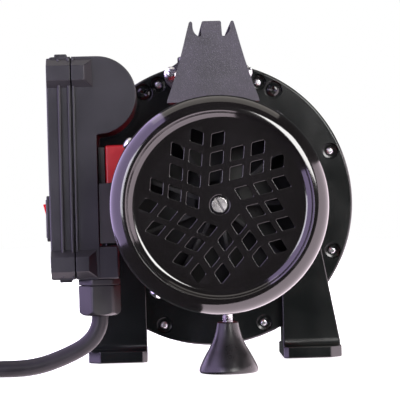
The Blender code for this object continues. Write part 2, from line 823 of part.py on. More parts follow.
def cable_gland():
    place = (gland_x, gland_y, 0)
    collar = prism("gland_body", hexagon(22), gland_nut_top + GAP, box_bottom - GAP, black_plastic, "z", place)
    join(
        collar,
        rod("gland_thread", 7.7, box_bottom - 2, box_bottom + 8, None, "z", COARSE, place),
        rod("gland_sleeve", 9, gland_nut_bottom + 5, gland_nut_top + 1, None, "z", COARSE, place),
    )
    bore_radius = cable_radius + 0.4
    cut(collar, rod("gland_bore", bore_radius, gland_nut_bottom - 7, box_bottom + 21, None, "z", COARSE, place))
    nut = prism("gland_nut", hexagon(22), gland_nut_bottom, gland_nut_top, black_plastic, "z", place)
    cut(
        nut,
        rod("nut_room", 9.3, gland_nut_bottom + 2, gland_nut_top + 5, None, "z", COARSE, place),
        rod("nut_mouth", bore_radius + 0.1, gland_nut_bottom - 17, gland_nut_top + 5, None, "z", COARSE, place),
    )
    seal = gland_nut_bottom + 2.3
    pipe("gland_seal", bore_radius, 9, seal, seal + 2.4, rubber, "z", COARSE, place)


# Mains lead: heights are above the floor
def mains_lead():
    lying = cable_radius + 0.02
    route = [
        (gland_x, gland_y, shaft_height - 40),
        (gland_x, gland_y, shaft_height - 52.5),
        (gland_x, gland_y, shaft_height - 62.5),
        (gland_x - 1.0, -88.2, 28),
        (gland_x - 4.6, -88.7, 21.4),
        (gland_x - 10.6, -89.4, 16.2),
        (gland_x - 18.0, -90.0, 12.4),
        (gland_x - 26.0, -90.6, 9.2),
        (gland_x - 34.0, -91.1, 6.7),
        (gland_x - 42.0, -91.6, 5.3),
        (gland_x - 50.0, -91.9, lying),
        (gland_x - 61.0, -92.0, lying),
        (gland_x - 73.0, -92.0, lying),
        (gland_x - 85.0, -92.0, lying),
        (coil_x + 37.5, -92.0, lying),
    ]
    line = bpy.data.curves.new("cable", "CURVE")
    line.dimensions = "3D"
    line.bevel_depth = cable_radius * MM
    line.bevel_resolution = 2
    line.use_fill_caps = True
    points = smooth_line(route, 4)
    spline = line.splines.new("POLY")
    spline.points.add(len(points) - 1)
    for point, (x, y, z) in zip(spline.points, points):
        point.co = (x * MM, y * MM, (z + floor_z) * MM, 1)
    line.materials.append(rubber)
    made = bpy.data.objects.new("cable", line)
    bpy.context.scene.collection.objects.link(made)
    made.parent = centre
    spread_in, spread_out = coil_radii[0] - cable_radius, coil_radii[1] + cable_radius
    low = floor_z + coil_lift
    high = low + 4 * cable_radius + 0.4
    pipe("cable_coil", spread_in, spread_out, low, high, rubber, "z", FINE, (coil_x, coil_y, 0))
    tie_x = coil_x + (spread_in + spread_out) / 2
    half = (spread_out - spread_in) / 2 + 1.2
    tie = block("coil_tie", (tie_x - half - 0.9, coil_y - 7, floor_z), (tie_x + half + 0.9, coil_y + 7, high + 1.2),
                black_plastic)
    cut(tie, block("tie_room", (tie_x - half, coil_y - 9, low - GAP), (tie_x + half, coil_y + 9, high + GAP)))
    mains_plug()


def smooth_line(route, steps):
    """Points along a Catmull-Rom curve through the route, about every two and a half diameters."""
    ends = [2 * Vector(route[0]) - Vector(route[1])] + [Vector(p) for p in route]
    ends.append(2 * ends[-1] - ends[-2])
    line = []
    for a, b, c, d in zip(ends, ends[1:], ends[2:], ends[3:]):
        for n in range(steps):
            t = n / steps
            line.append(
                0.5 * (2 * b + (c - a) * t + (2 * a - 5 * b + 4 * c - d) * t * t
                       + (3 * b - a - 3 * c + d) * t**3)
            )
    return line + [ends[-2]]


def mains_plug():
    start = coil_y + 25
    place = (coil_x - coil_radii[1] - 8, 0, floor_z + 18.2)
    outline = [
        (0, start),
        (6.2, start),
        (8, start + 26),
        (14, start + 34),
        (18, start + 42),
        (18, start + 60),
        (0, start + 60),
    ]
    plug = lathe("plug", outline, rubber, "y", COARSE, place)
    join(plug, rod("pin_1", 2.4, start + 59, start + 79, None, "y", 10, (place[0] - 9.5, 0, place[2])))
    join(plug, rod("pin_2", 2.4, start + 59, start + 79, None, "y", 10, (place[0] + 9.5, 0, place[2])))


# Rear foot
def rear_foot():
    place = (rear_foot_x, rear_foot_y, floor_z)
    bell = [(0, 0), (16.6, 0), (17.25, 1.3), (15.2, 7.5), (11.2, 14.1), (7.6, 22.1), (5.96, rear_foot_height)]
    hole = stud_radius + thread_clearance
    bell += [(hole, rear_foot_height), (hole, 9.5), (0, 9.5)]
    lathe("rear_foot", bell, rubber, "z", COARSE, place)
    rod("foot_stud", stud_radius, 10, shaft_height - 51.5, zinc, "z", SMALL, place)


pump_casing()
casing_screws()
casing_seal()
diffuser()
ejector()
impeller()
shaft_seal()
plugs()
motor_bracket()
foot("left_foot", -1)
foot("right_foot", 1)
rotor()
stator()
motor_frame()
rear_shield()
fan()
fan_cover()
handle()
switch_box()
box_contents()
cable_gland()
mains_lead()
rear_foot()
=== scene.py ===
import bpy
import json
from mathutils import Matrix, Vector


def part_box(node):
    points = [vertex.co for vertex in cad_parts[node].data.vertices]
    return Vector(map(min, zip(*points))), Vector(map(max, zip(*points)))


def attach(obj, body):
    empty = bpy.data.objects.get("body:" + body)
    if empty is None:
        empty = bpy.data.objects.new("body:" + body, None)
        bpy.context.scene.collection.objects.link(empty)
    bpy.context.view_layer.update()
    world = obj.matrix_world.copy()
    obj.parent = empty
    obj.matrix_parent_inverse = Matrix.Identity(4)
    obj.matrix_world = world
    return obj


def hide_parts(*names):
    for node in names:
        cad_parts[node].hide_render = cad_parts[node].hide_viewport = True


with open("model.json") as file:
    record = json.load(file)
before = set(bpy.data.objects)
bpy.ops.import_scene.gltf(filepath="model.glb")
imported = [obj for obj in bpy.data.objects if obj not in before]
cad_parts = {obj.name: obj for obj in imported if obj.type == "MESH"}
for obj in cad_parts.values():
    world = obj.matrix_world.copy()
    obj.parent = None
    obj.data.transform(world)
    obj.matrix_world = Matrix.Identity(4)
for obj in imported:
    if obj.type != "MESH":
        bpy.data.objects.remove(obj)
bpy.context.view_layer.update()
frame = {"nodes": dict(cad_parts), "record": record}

import json
import math

import bmesh
import bpy
from mathutils import Euler, Matrix, Vector

mm = 0.001
bracketThickness = 12.0
bracketLow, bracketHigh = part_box("motor_bracket")
shaftCentre = Vector((
    (bracketLow.x + bracketHigh.x) / 2, bracketHigh.y - bracketThickness * mm,
    (bracketLow.z + bracketHigh.z) / 2,
    ))
floorHeight = -shaftCentre.z / mm  # the floor, in millimetres from the shaft


def fromShaft(x, y, z):
    return shaftCentre + Vector((x, y, z)) * mm


# Studio
studio = {
    "cameraPlace": (-34.9, -1258.0, 5.2),
    "cameraYaw": 1.27,
    "cameraPitch": 0.12,
    "cameraRoll": 1.5,
    "lens": 180.0,
    "worldGlow": 0.07,
    "worldColour": (0.93, 0.94, 1.0, 1),
    "backdropGlow": 1.0,
    "backdropColour": (1.0, 1.0, 1.0, 1),
    "lights": {
        "leftPanel": {"at": (-950, -300, 330), "aim": (0, -300, 0), "size": (3300, 1750), "watts": 62.0,
                      "colour": (0.66, 0.52, 0.92)},
        "rightPanel": {"at": (740, 0, -600), "aim": (0, 0, 0), "size": (3900, 3300), "watts": 140.0,
                       "colour": (1.0, 0.84, 0.93)},
        "topPanel": {"at": (0, 0, 1200), "aim": (0, 0, 0), "size": (1800, 1400), "watts": 9.0,
                     "colour": (1.0, 0.93, 0.86)},
        "keyLight": {"at": (700, -1900, 500), "aim": (0, 0, 0), "size": (650, 650), "watts": 22.0,
                     "colour": (1.0, 0.98, 0.97)},
        "leftFill": {"at": (-900, -1900, 250), "aim": (0, 0, 0), "size": (500, 700), "watts": 10.0,
                     "colour": (0.93, 0.92, 1.0)},
        "backPanel": {"at": (300, 1500, 700), "aim": (0, 0, 0), "size": (1400, 1100), "watts": 40.0,
                      "colour": (1.0, 1.0, 1.0), "mirrored": False},
    },
}


def placeCamera():
    data = bpy.data.cameras.new("studioCamera")
    data.lens = studio["lens"]
    data.sensor_width = 36.0
    data.clip_start = 0.05
    camera = bpy.data.objects.new("studioCamera", data)
    aim = Euler((0, 0, math.radians(-studio["cameraYaw"]))).to_matrix()
    aim = aim @ Euler((math.radians(90 - studio["cameraPitch"]), 0, 0)).to_matrix()
    aim = aim @ Euler((0, 0, math.radians(-studio["cameraRoll"]))).to_matrix()
    camera.matrix_world = Matrix.Translation(fromShaft(*studio["cameraPlace"])) @ aim.to_4x4()
    bpy.context.scene.collection.objects.link(camera)
    bpy.context.scene.camera = camera


def placeLights():
    for name, facts in studio["lights"].items():
        data = bpy.data.lights.new(name, "AREA")
        data.shape = "RECTANGLE"
        data.size, data.size_y = facts["size"][0] * mm, facts["size"][1] * mm
        data.energy = facts["watts"]
        data.color = facts["colour"]
        light = bpy.data.objects.new(name, data)
        place = fromShaft(*facts["at"])
        turn = (fromShaft(*facts["aim"]) - place).to_track_quat("-Z", "Y")
        light.matrix_world = Matrix.Translation(place) @ turn.to_matrix().to_4x4()
        light.visible_camera = False
        light.visible_glossy = facts.get("mirrored", True)
        bpy.context.scene.collection.objects.link(light)
    world = bpy.data.worlds.new("studioWorld")
    bpy.context.scene.world = world
    world.use_nodes = True
    tree = world.node_tree
    glow = tree.nodes["Background"]
    glow.inputs["Color"].default_value = studio["worldColour"]
    glow.inputs["Strength"].default_value = studio["worldGlow"]
    seen = tree.nodes.new("ShaderNodeBackground")
    seen.inputs["Color"].default_value = studio["backdropColour"]
    seen.inputs["Strength"].default_value = studio["backdropGlow"]
    path = tree.nodes.new("ShaderNodeLightPath")
    choose = tree.nodes.new("ShaderNodeMixShader")
    tree.links.new(path.outputs["Is Camera Ray"], choose.inputs["Fac"])
    tree.links.new(glow.outputs[0], choose.inputs[1])
    tree.links.new(seen.outputs[0], choose.inputs[2])
    tree.links.new(choose.outputs[0], tree.nodes["World Output"].inputs["Surface"])
    bpy.context.scene.view_settings.view_transform = "Standard"


placeCamera()
placeLights()
print("studio ready")


# Shader groups that several finishes share
def newGroup(name, inputs, outputs):
    tree = bpy.data.node_groups.new(name, "ShaderNodeTree")
    for label, value in inputs:
        socket = tree.interface.new_socket(label, in_out="INPUT", socket_type="NodeSocketFloat")
        socket.default_value = value
    for label in outputs:
        tree.interface.new_socket(label, in_out="OUTPUT", socket_type="NodeSocketFloat")
    return tree, tree.nodes.new("NodeGroupInput"), tree.nodes.new("NodeGroupOutput")


def addNode(tree, kind, links=(), **settings):
    node = tree.nodes.new("ShaderNode" + kind)
    for label, value in settings.items():
        setattr(node, label, value)
    for socket, source in links:
        if isinstance(source, bpy.types.NodeSocket):
            tree.links.new(source, node.inputs[socket])
        else:
            node.inputs[socket].default_value = source
    return node


def grainGroup():
    # fine grain over a slower swell, as on a casting or a moulding
    tree, given, made = newGroup("surfaceGrain", [("Scale", 900.0), ("Swell", 60.0), ("Share", 0.6)],
                                 ["Height", "Mottle"])
    place = addNode(tree, "TexCoord").outputs["Object"]
    fine = addNode(tree, "TexNoise", [("Vector", place), ("Scale", given.outputs["Scale"]), ("Detail", 3.0)])
    slow = addNode(tree, "TexNoise", [("Vector", place), ("Scale", given.outputs["Swell"]), ("Detail", 4.0)])
    both = addNode(tree, "Mix", [(0, given.outputs["Share"]), (2, slow.outputs["Fac"]),
                                 (3, fine.outputs["Fac"])])
    tree.links.new(both.outputs[0], made.inputs["Height"])
    spread = addNode(tree, "MapRange", [("Value", slow.outputs["Fac"]), ("From Min", 0.35),
                                        ("From Max", 0.65)])
    tree.links.new(spread.outputs[0], made.inputs["Mottle"])
    return tree


def glintSpeckGroup():
    # painted glints: scattered lighter specks standing in for the sparkle of light on a spark-eroded mould
    tree, given, made = newGroup("sparkGlintSpecks", [("Scale", 1500.0), ("Amount", 0.5)], ["Specks", "Height"])
    place = addNode(tree, "TexCoord").outputs["Object"]
    cells = addNode(tree, "TexVoronoi", [("Vector", place), ("Scale", given.outputs["Scale"])])
    fade = addNode(tree, "TexNoise", [("Vector", place), ("Scale", 45.0), ("Detail", 2.0)])
    level = addNode(tree, "MapRange", [("Value", cells.outputs["Distance"]), ("From Min", 0.32),
                                       ("From Max", 0.12)])
    part = addNode(tree, "Math", [(0, level.outputs[0]), (1, fade.outputs["Fac"])], operation="MULTIPLY")
    amount = addNode(tree, "Math", [(0, part.outputs[0]), (1, given.outputs["Amount"])], operation="MULTIPLY")
    tree.links.new(amount.outputs[0], made.inputs["Specks"])
    tree.links.new(cells.outputs["Distance"], made.inputs["Height"])
    return tree


def wearAndHighlightGroup():
    # rubbed edges together with a painted edge highlight: sharp convex edges are lightened, broken up by
    # noise
    tree, given, made = newGroup("edgeWearAndHighlight", [("Start", 0.52), ("Full", 0.62), ("Scale", 120.0)], ["Mask"])
    place = addNode(tree, "TexCoord").outputs["Object"]
    sharp = addNode(tree, "NewGeometry").outputs["Pointiness"]
    level = addNode(tree, "MapRange", [("Value", sharp), ("From Min", given.outputs["Start"]),
                                       ("From Max", given.outputs["Full"])])
    broken = addNode(tree, "TexNoise", [("Vector", place), ("Scale", given.outputs["Scale"]),
                                        ("Detail", 5.0)])
    mask = addNode(tree, "Math", [(0, level.outputs[0]), (1, broken.outputs["Fac"])], operation="MULTIPLY")
    tree.links.new(mask.outputs[0], made.inputs["Mask"])
    return tree


def dustGroup():
    # dust that settles on what faces up
    tree, given, made = newGroup("settledDust", [("Amount", 0.3), ("Scale", 220.0)], ["Mask"])
    place = addNode(tree, "TexCoord").outputs["Object"]
    facing = addNode(tree, "SeparateXYZ", [(0, addNode(tree, "NewGeometry").outputs["Normal"])])
    up = addNode(tree, "MapRange", [("Value", facing.outputs["Z"]), ("From Min", 0.2), ("From Max", 1.0)])
    flecks = addNode(tree, "TexNoise", [("Vector", place), ("Scale", given.outputs["Scale"]),
                                        ("Detail", 6.0)])
    sparse = addNode(tree, "MapRange", [("Value", flecks.outputs["Fac"]), ("From Min", 0.4),
                                        ("From Max", 0.75)])
    lying = addNode(tree, "Math", [(0, up.outputs[0]), (1, sparse.outputs[0])], operation="MULTIPLY")
    mask = addNode(tree, "Math", [(0, lying.outputs[0]), (1, given.outputs["Amount"])], operation="MULTIPLY")
    tree.links.new(mask.outputs[0], made.inputs["Mask"])
    return tree


def streakGroup():
    # drawing or turning marks: noise stretched by the three scales
    tree, given, made = newGroup("workingMarks", [("Along X", 40.0), ("Along Y", 900.0), ("Along Z", 40.0)],
                                 ["Height"])
    place = addNode(tree, "TexCoord").outputs["Object"]
    scale = addNode(tree, "CombineXYZ", [(k, given.outputs[k]) for k in range(3)])
    stretched = addNode(tree, "VectorMath", [(0, place), (1, scale.outputs[0])], operation="MULTIPLY")
    noise = addNode(tree, "TexNoise", [("Vector", stretched.outputs[0]), ("Scale", 1.0), ("Detail", 4.0)])
    tree.links.new(noise.outputs["Fac"], made.inputs["Height"])
    return tree


groups = {"grain": grainGroup(), "glintSpecks": glintSpeckGroup(), "wearAndHighlight": wearAndHighlightGroup(), "dust": dustGroup(),
          "marks": streakGroup()}


def addGroup(tree, name, **values):
    node = tree.nodes.new("ShaderNodeGroup")
    node.node_tree = groups[name]
    for label, value in values.items():
        node.inputs[label.replace("_", " ")].default_value = value
    return node


def mixColour(tree, mask, first, second):
    node = tree.nodes.new("ShaderNodeMix")
    node.data_type = "RGBA"
    tree.links.new(mask, node.inputs[0])
    for socket, value in ((node.inputs[6], first), (node.inputs[7], second)):
        if isinstance(value, bpy.types.NodeSocket):
            tree.links.new(value, socket)
        else:
            socket.default_value = (*value, 1)
    return node.outputs[2]


# Each finish: two colours that mottle, the roughness range, and its texture
finishes = {
    "castBlack": {"colours": ((0.0032, 0.0048, 0.0045), (0.005, 0.0068, 0.0063)), "rough": (0.15, 0.22),
                  "grain": (420.0, 40.0, 0.35), "depth": 0.05, "wearAndHighlight": 0.25, "dust": 0.05},
    "coverEnamel": {"colours": ((0.0042, 0.0037, 0.0033), (0.006, 0.0054, 0.005)), "rough": (0.08, 0.12),
                    "grain": (260.0, 30.0, 0.5), "depth": 0.012, "wearAndHighlight": 0.3, "coat": 0.4, "dust": 0.03},
    "redPaint": {"colours": ((0.3, 0.003, 0.006), (0.37, 0.005, 0.009)), "rough": (0.28, 0.38),
                 "grain": (700.0, 80.0, 0.5), "depth": 0.03, "wearAndHighlight": 0.2, "dust": 0.06},
    "satinPlastic": {"colours": ((0.0145, 0.0145, 0.0168), (0.0185, 0.0183, 0.0215)), "specular": 0.4,
                     "rough": (0.33, 0.4), "grain": (2600.0, 45.0, 0.8), "depth": 0.02, "wearAndHighlight": 0.35,
                     "dust": 0.05},
    "sparkPlastic": {"colours": ((0.022, 0.0212, 0.0255), (0.031, 0.0295, 0.036)), "rough": (0.42, 0.54),
                     "grain": (1500.0, 60.0, 0.7), "depth": 0.1, "wearAndHighlight": 0.8, "glintSpecks": (1100.0, 0.55),
                     "dust": 0.05},
    "blackPlastic": {"colours": ((0.008, 0.0083, 0.009), (0.012, 0.0124, 0.0135)), "rough": (0.34, 0.46),
                     "grain": (1800.0, 70.0, 0.7), "depth": 0.03, "wearAndHighlight": 0.4, "dust": 0.04},
    "fanPlastic": {"colours": ((0.006, 0.0062, 0.0062), (0.009, 0.0092, 0.0092)), "rough": (0.5, 0.62),
                   "grain": (1800.0, 70.0, 0.7), "depth": 0.03, "wearAndHighlight": 0.3},
    "redPlastic": {"colours": ((0.62, 0.008, 0.012), (0.7, 0.012, 0.016)), "rough": (0.22, 0.3),
                   "grain": (1500.0, 60.0, 0.6), "depth": 0.01, "wearAndHighlight": 0.1},
    "whitePlastic": {"colours": ((0.72, 0.7, 0.64), (0.8, 0.78, 0.74)), "rough": (0.4, 0.52),
                     "grain": (1500.0, 60.0, 0.6), "depth": 0.02, "wearAndHighlight": 0.1},
    "zincPlate": {"colours": ((0.62, 0.63, 0.66), (0.78, 0.78, 0.8)), "rough": (0.2, 0.34),
                  "grain": (1800.0, 300.0, 0.5), "depth": 0.03, "metal": 1.0, "wearAndHighlight": 0.2},
    "brightSteel": {"colours": ((0.52, 0.5, 0.5), (0.66, 0.64, 0.63)), "rough": (0.22, 0.36),
                    "marks": (60.0, 2600.0, 60.0), "depth": 0.04, "metal": 1.0},
    "stampedSteel": {"colours": ((0.24, 0.24, 0.26), (0.36, 0.35, 0.35)), "rough": (0.38, 0.52),
                     "marks": (25.0, 4000.0, 25.0), "depth": 0.12, "metal": 1.0},
    "windingCopper": {"colours": ((0.5, 0.16, 0.06), (0.7, 0.28, 0.12)), "rough": (0.24, 0.36),
                      "marks": (1600.0, 200.0, 1600.0), "depth": 0.2, "metal": 1.0},
    "castAluminium": {"colours": ((0.42, 0.42, 0.43), (0.55, 0.55, 0.56)), "rough": (0.36, 0.5),
                      "grain": (900.0, 120.0, 0.6), "depth": 0.08, "metal": 1.0, "dust": 0.06},
    "turnedBrass": {"colours": ((0.62, 0.42, 0.14), (0.76, 0.56, 0.24)), "rough": (0.24, 0.36),
                    "marks": (80.0, 2400.0, 80.0), "depth": 0.04, "metal": 1.0},
    "lappedCeramic": {"colours": ((0.78, 0.76, 0.7), (0.86, 0.84, 0.8)), "rough": (0.12, 0.2),
                      "grain": (1200.0, 90.0, 0.5), "depth": 0.01},
    "mouldedRubber": {"colours": ((0.008, 0.0082, 0.008), (0.013, 0.0132, 0.0128)), "rough": (0.26, 0.38),
                      "grain": (1100.0, 110.0, 0.6), "depth": 0.09, "wearAndHighlight": 0.3, "dust": 0.1},
    "cableSheath": {"specular": 0.25, "colours": ((0.013, 0.0127, 0.014), (0.018, 0.0175, 0.02)),
                    "rough": (0.36, 0.46), "grain": (1600.0, 90.0, 0.5), "depth": 0.02, "dust": 0.05},
}

dustColour = (0.09, 0.085, 0.08)
# painted highlight: the colour of the lighter glint specks
glintSpeckColour = (0.3, 0.29, 0.33)
coatRoughness = 0.06


def makeFinish(name):
    facts = finishes[name]
    made = bpy.data.materials.new(name)
    made.use_nodes = True
    tree = made.node_tree
    shader = tree.nodes["Principled BSDF"]
    shader.inputs["Metallic"].default_value = facts.get("metal", 0.0)
    shader.inputs["Specular IOR Level"].default_value = facts.get("specular", 0.5)
    if "coat" in facts:
        shader.inputs["Coat Weight"].default_value = facts["coat"]
        shader.inputs["Coat Roughness"].default_value = coatRoughness
    scale, swell, share = facts.get("grain", (900.0, 90.0, 0.4))
    grain = addGroup(tree, "grain", Scale=scale, Swell=swell, Share=share)
    height = grain.outputs["Height"]
    colour = mixColour(tree, grain.outputs["Mottle"], *facts["colours"])
    if "marks" in facts:
        x, y, z = facts["marks"]
        height = addGroup(tree, "marks", Along_X=x, Along_Y=y, Along_Z=z).outputs["Height"]
    # lighter specks painted into the colour as glints of light on the spark-eroded texture
    if "glintSpecks" in facts:
        glintSpecks = addGroup(tree, "glintSpecks", Scale=facts["glintSpecks"][0], Amount=facts["glintSpecks"][1])
        colour = mixColour(tree, glintSpecks.outputs["Specks"], colour, glintSpeckColour)
        height = addNode(tree, "Mix", [(0, 0.5), (2, height), (3, glintSpecks.outputs["Height"])]).outputs[0]
    # convex edges are painted lighter, partly as real wear and partly as a painted highlight
    if "wearAndHighlight" in facts:
        wearAndHighlight = addGroup(tree, "wearAndHighlight")
        wornAndHighlitEdge = tuple(min(1.0, value * 1.5 + 0.03) for value in facts["colours"][1])
        part = addNode(tree, "Math", [(0, wearAndHighlight.outputs["Mask"]), (1, facts["wearAndHighlight"])], operation="MULTIPLY")
        colour = mixColour(tree, part.outputs[0], colour, wornAndHighlitEdge)
    if "dust" in facts:
        colour = mixColour(tree, addGroup(tree, "dust", Amount=facts["dust"]).outputs["Mask"], colour,
                           dustColour)
    tree.links.new(colour, shader.inputs["Base Color"])
    low, high = facts["rough"]
    rough = addNode(tree, "MapRange", [("Value", grain.outputs["Mottle"]), ("To Min", low), ("To Max", high)])
    tree.links.new(rough.outputs[0], shader.inputs["Roughness"])
    bump = addNode(tree, "Bump", [("Height", height), ("Strength", 1.0), ("Distance", facts["depth"] * mm)])
    tree.links.new(bump.outputs[0], shader.inputs["Normal"])
    return made


finish = {name: makeFinish(name) for name in finishes}
slotFinish = {
    "gloss_black_paint": "castBlack", "cover_black_paint": "coverEnamel", "red_paint": "redPaint",
    "dark_grey_plastic": "satinPlastic", "black_plastic": "blackPlastic", "red_plastic": "redPlastic",
    "white_plastic": "whitePlastic", "zinc_plate": "zincPlate", "bright_steel": "brightSteel",
    "lamination_steel": "stampedSteel", "enamelled_copper": "windingCopper",
    "cast_aluminium": "castAluminium",
    "brass": "turnedBrass", "ceramic": "lappedCeramic", "black_rubber": "mouldedRubber",
}
slotOf = {part["node"]: part["material_slot"] for part in frame["record"]["subparts"]}
for node, shown in frame["nodes"].items():
    shown.data.materials.clear()
    shown.data.materials.append(finish[slotFinish[slotOf[node]]])
print("finishes ready:", len(finish))


# Floor
floor = {"size": 6.0, "lift": 0.9, "colour": ((0.9, 0.9, 0.9), (0.93, 0.93, 0.93))}


def makeFloor():
    shape = bmesh.new()
    bmesh.ops.create_grid(shape, x_segments=1, y_segments=1, size=floor["size"] / 2)
    bmesh.ops.translate(shape, vec=(shaftCentre.x, shaftCentre.y, -0.0004), verts=shape.verts[:])
    mesh = bpy.data.meshes.new("studioFloor")
    shape.to_mesh(mesh)
    shape.free()
    made = bpy.data.objects.new("studioFloor", mesh)
    bpy.context.scene.collection.objects.link(made)
    paint = bpy.data.materials.new("paleFloor")
    paint.use_nodes = True
    tree = paint.node_tree
    shader = tree.nodes["Principled BSDF"]
    mottle = addGroup(tree, "grain", Scale=60.0, Swell=6.0, Share=0.5).outputs["Mottle"]
    tree.links.new(mixColour(tree, mottle, *floor["colour"]), shader.inputs["Base Color"])
    shader.inputs["Roughness"].default_value = 0.85
    shader.inputs["Specular IOR Level"].default_value = 0.2
    shader.inputs["Emission Color"].default_value = (1.0, 1.0, 1.0, 1)
    path = tree.nodes.new("ShaderNodeLightPath")
    lift = addNode(tree, "Math", operation="MULTIPLY")
    lift.inputs[1].default_value = floor["lift"]
    tree.links.new(path.outputs["Is Camera Ray"], lift.inputs[0])
    tree.links.new(lift.outputs[0], shader.inputs["Emission Strength"])
    mesh.materials.append(paint)
    made.visible_glossy = False


makeFloor()
print("floor ready")


# Making steps: every size is in millimetres from the shaft until a piece is finished
aim = {
    "Z": Matrix.Identity(3),
    "Y": Matrix.Rotation(math.radians(-90), 3, "X"),
    "X": Matrix.Rotation(math.radians(90), 3, "Y"),
}
lay = {
    "Y": Matrix.Identity(3),
    "X": Matrix(((0, 1, 0), (1, 0, 0), (0, 0, 1))),
    "Z": Matrix(((1, 0, 0), (0, 0, 1), (0, 1, 0))),
}


def shift(shape, place):
    bmesh.ops.translate(shape, vec=place, verts=shape.verts[:])


def swing(shape, degrees, axis):
    turn = Matrix.Rotation(math.radians(degrees), 3, axis)
    bmesh.ops.rotate(shape, cent=(0, 0, 0), matrix=turn, verts=shape.verts[:])


def outlineWire(shape, corners, closed, segments):
    # a corner is (a, b) or (a, b, rounding)
    verts = [shape.verts.new((corner[0], 0, corner[1])) for corner in corners]
    followers = verts[1:] + verts[:1] if closed else verts[1:]
    for first, second in zip(verts, followers):
        shape.edges.new((first, second))
    for vert, corner in zip(verts, corners):
        if len(corner) > 2:
            bmesh.ops.bevel(
                shape, geom=[vert], offset=corner[2], offset_type="OFFSET", segments=segments, profile=0.5,
                affect="VERTICES", material=-1,
            )


def turned(corners, steps=64, closed=False, axis="Y", at=(0, 0, 0), segments=6):
    # an outline of (radius, distance along the axis) spun round
    shape = bmesh.new()
    outlineWire(shape, corners, closed, segments)
    bmesh.ops.spin(
        shape, geom=shape.verts[:] + shape.edges[:], cent=(0, 0, 0), axis=(0, 0, 1), angle=math.tau,
        steps=steps,
        use_merge=True,
    )
    bmesh.ops.rotate(shape, cent=(0, 0, 0), matrix=aim[axis], verts=shape.verts[:])
    shift(shape, at)
    bmesh.ops.remove_doubles(shape, verts=shape.verts[:], dist=0.0005)
    return shape


def rod(radius, low, high, steps, **place):
    # a plain cylinder, for a bore, a room or a pin
    return turned([(0, low), (radius, low), (radius, high), (0, high)], steps, **place)


def oblong(lowA, lowB, highA, highB, rounding):
    return [(lowA, lowB, rounding), (highA, lowB, rounding), (highA, highB, rounding),
            (lowA, highB, rounding)]


def plate(corners, low, high, axis="Y", at=(0, 0, 0), segments=5):
    # an outline drawn in (x, z) for Y, (y, z) for X or (x, y) for Z, extruded from low to high
    shape = bmesh.new()
    outlineWire(shape, corners, True, segments)
    bmesh.ops.contextual_create(shape, geom=shape.edges[:])
    shift(shape, (0, low, 0))
    grown = bmesh.ops.extrude_face_region(shape, geom=shape.faces[:])["geom"]
    risen = [v for v in grown if isinstance(v, bmesh.types.BMVert)]
    bmesh.ops.translate(shape, vec=(0, high - low, 0), verts=risen)
    bmesh.ops.rotate(shape, cent=(0, 0, 0), matrix=lay[axis], verts=shape.verts[:])
    shift(shape, at)
    bmesh.ops.recalc_face_normals(shape, faces=shape.faces[:])
    return shape


def brick(low, high, rounding=0.0, segments=3):
    shape = plate([(low[0], low[2]), (high[0], low[2]), (high[0], high[2]), (low[0], high[2])], low[1],
                  high[1])
    return softened(shape, rounding, segments) if rounding else shape


def softened(shape, width, segments=3, angle=30.0, where=None):
    # rounds the edges that are sharper than the angle
    bmesh.ops.recalc_face_normals(shape, faces=shape.faces[:])
    limit = math.radians(angle)
    edges = [e for e in shape.edges if e.is_manifold and e.calc_face_angle() > limit
             and (not where or where(e))]
    bmesh.ops.bevel(
        shape, geom=edges, offset=width, offset_type="OFFSET", segments=segments, profile=0.5, affect="EDGES",
        material=-1, clamp_overlap=True,
    )
    return shape


def gathered(*shapes):
    whole = shapes[0]
    for other in shapes[1:]:
        spare = bpy.data.meshes.new("spare")
        other.to_mesh(spare)
        other.free()
        whole.from_mesh(spare)
        bpy.data.meshes.remove(spare)
    return whole


def copied(shape, matrix):
    double = shape.copy()
    bmesh.ops.transform(double, matrix=matrix, verts=double.verts[:])
    return double


def spare(shape):
    bmesh.ops.remove_doubles(shape, verts=shape.verts[:], dist=0.0005)
    bmesh.ops.recalc_face_normals(shape, faces=shape.faces[:])
    mesh = bpy.data.meshes.new("spare")
    shape.to_mesh(mesh)
    shape.free()
    made = bpy.data.objects.new("spare", mesh)
    bpy.context.scene.collection.objects.link(made)
    return made


def combined(shape, operation, *tools, solver="EXACT"):
    body = spare(shape)
    helpers = [spare(tool) for tool in tools]
    for helper in helpers:
        step = body.modifiers.new("step", "BOOLEAN")
        step.operation, step.object, step.solver = operation, helper, solver
    mesh = bpy.data.meshes.new_from_object(body.evaluated_get(bpy.context.evaluated_depsgraph_get()))
    result = bmesh.new()
    result.from_mesh(mesh)
    for old in [body] + helpers:
        data = old.data
        bpy.data.objects.remove(old)
        bpy.data.meshes.remove(data)
    bpy.data.meshes.remove(mesh)
    return result


def carved(shape, *tools, **settings):
    return combined(shape, "DIFFERENCE", *tools, **settings)


def welded(shape, *tools, **settings):
    return combined(shape, "UNION", *tools, **settings)


def finished(name, shape, finishName, body="pump", stands=(), sharp=32.0):
    bmesh.ops.remove_doubles(shape, verts=shape.verts[:], dist=0.0005)
    bmesh.ops.recalc_face_normals(shape, faces=shape.faces[:])
    bmesh.ops.scale(shape, vec=(mm, mm, mm), verts=shape.verts[:])
    shift(shape, shaftCentre)
    mesh = bpy.data.meshes.new(name)
    shape.to_mesh(mesh)
    shape.free()
    mesh.materials.append(finish[finishName])
    mesh.shade_smooth()
    mesh.set_sharp_from_angle(angle=math.radians(sharp))
    made = bpy.data.objects.new(name, mesh)
    bpy.context.scene.collection.objects.link(made)
    made.modifiers.new("flatShading", "WEIGHTED_NORMAL").keep_sharp = True
    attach(made, body)
    if stands:
        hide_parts(*stands)
    return made


def polar(radius, degrees):
    return radius * math.cos(math.radians(degrees)), radius * math.sin(math.radians(degrees))


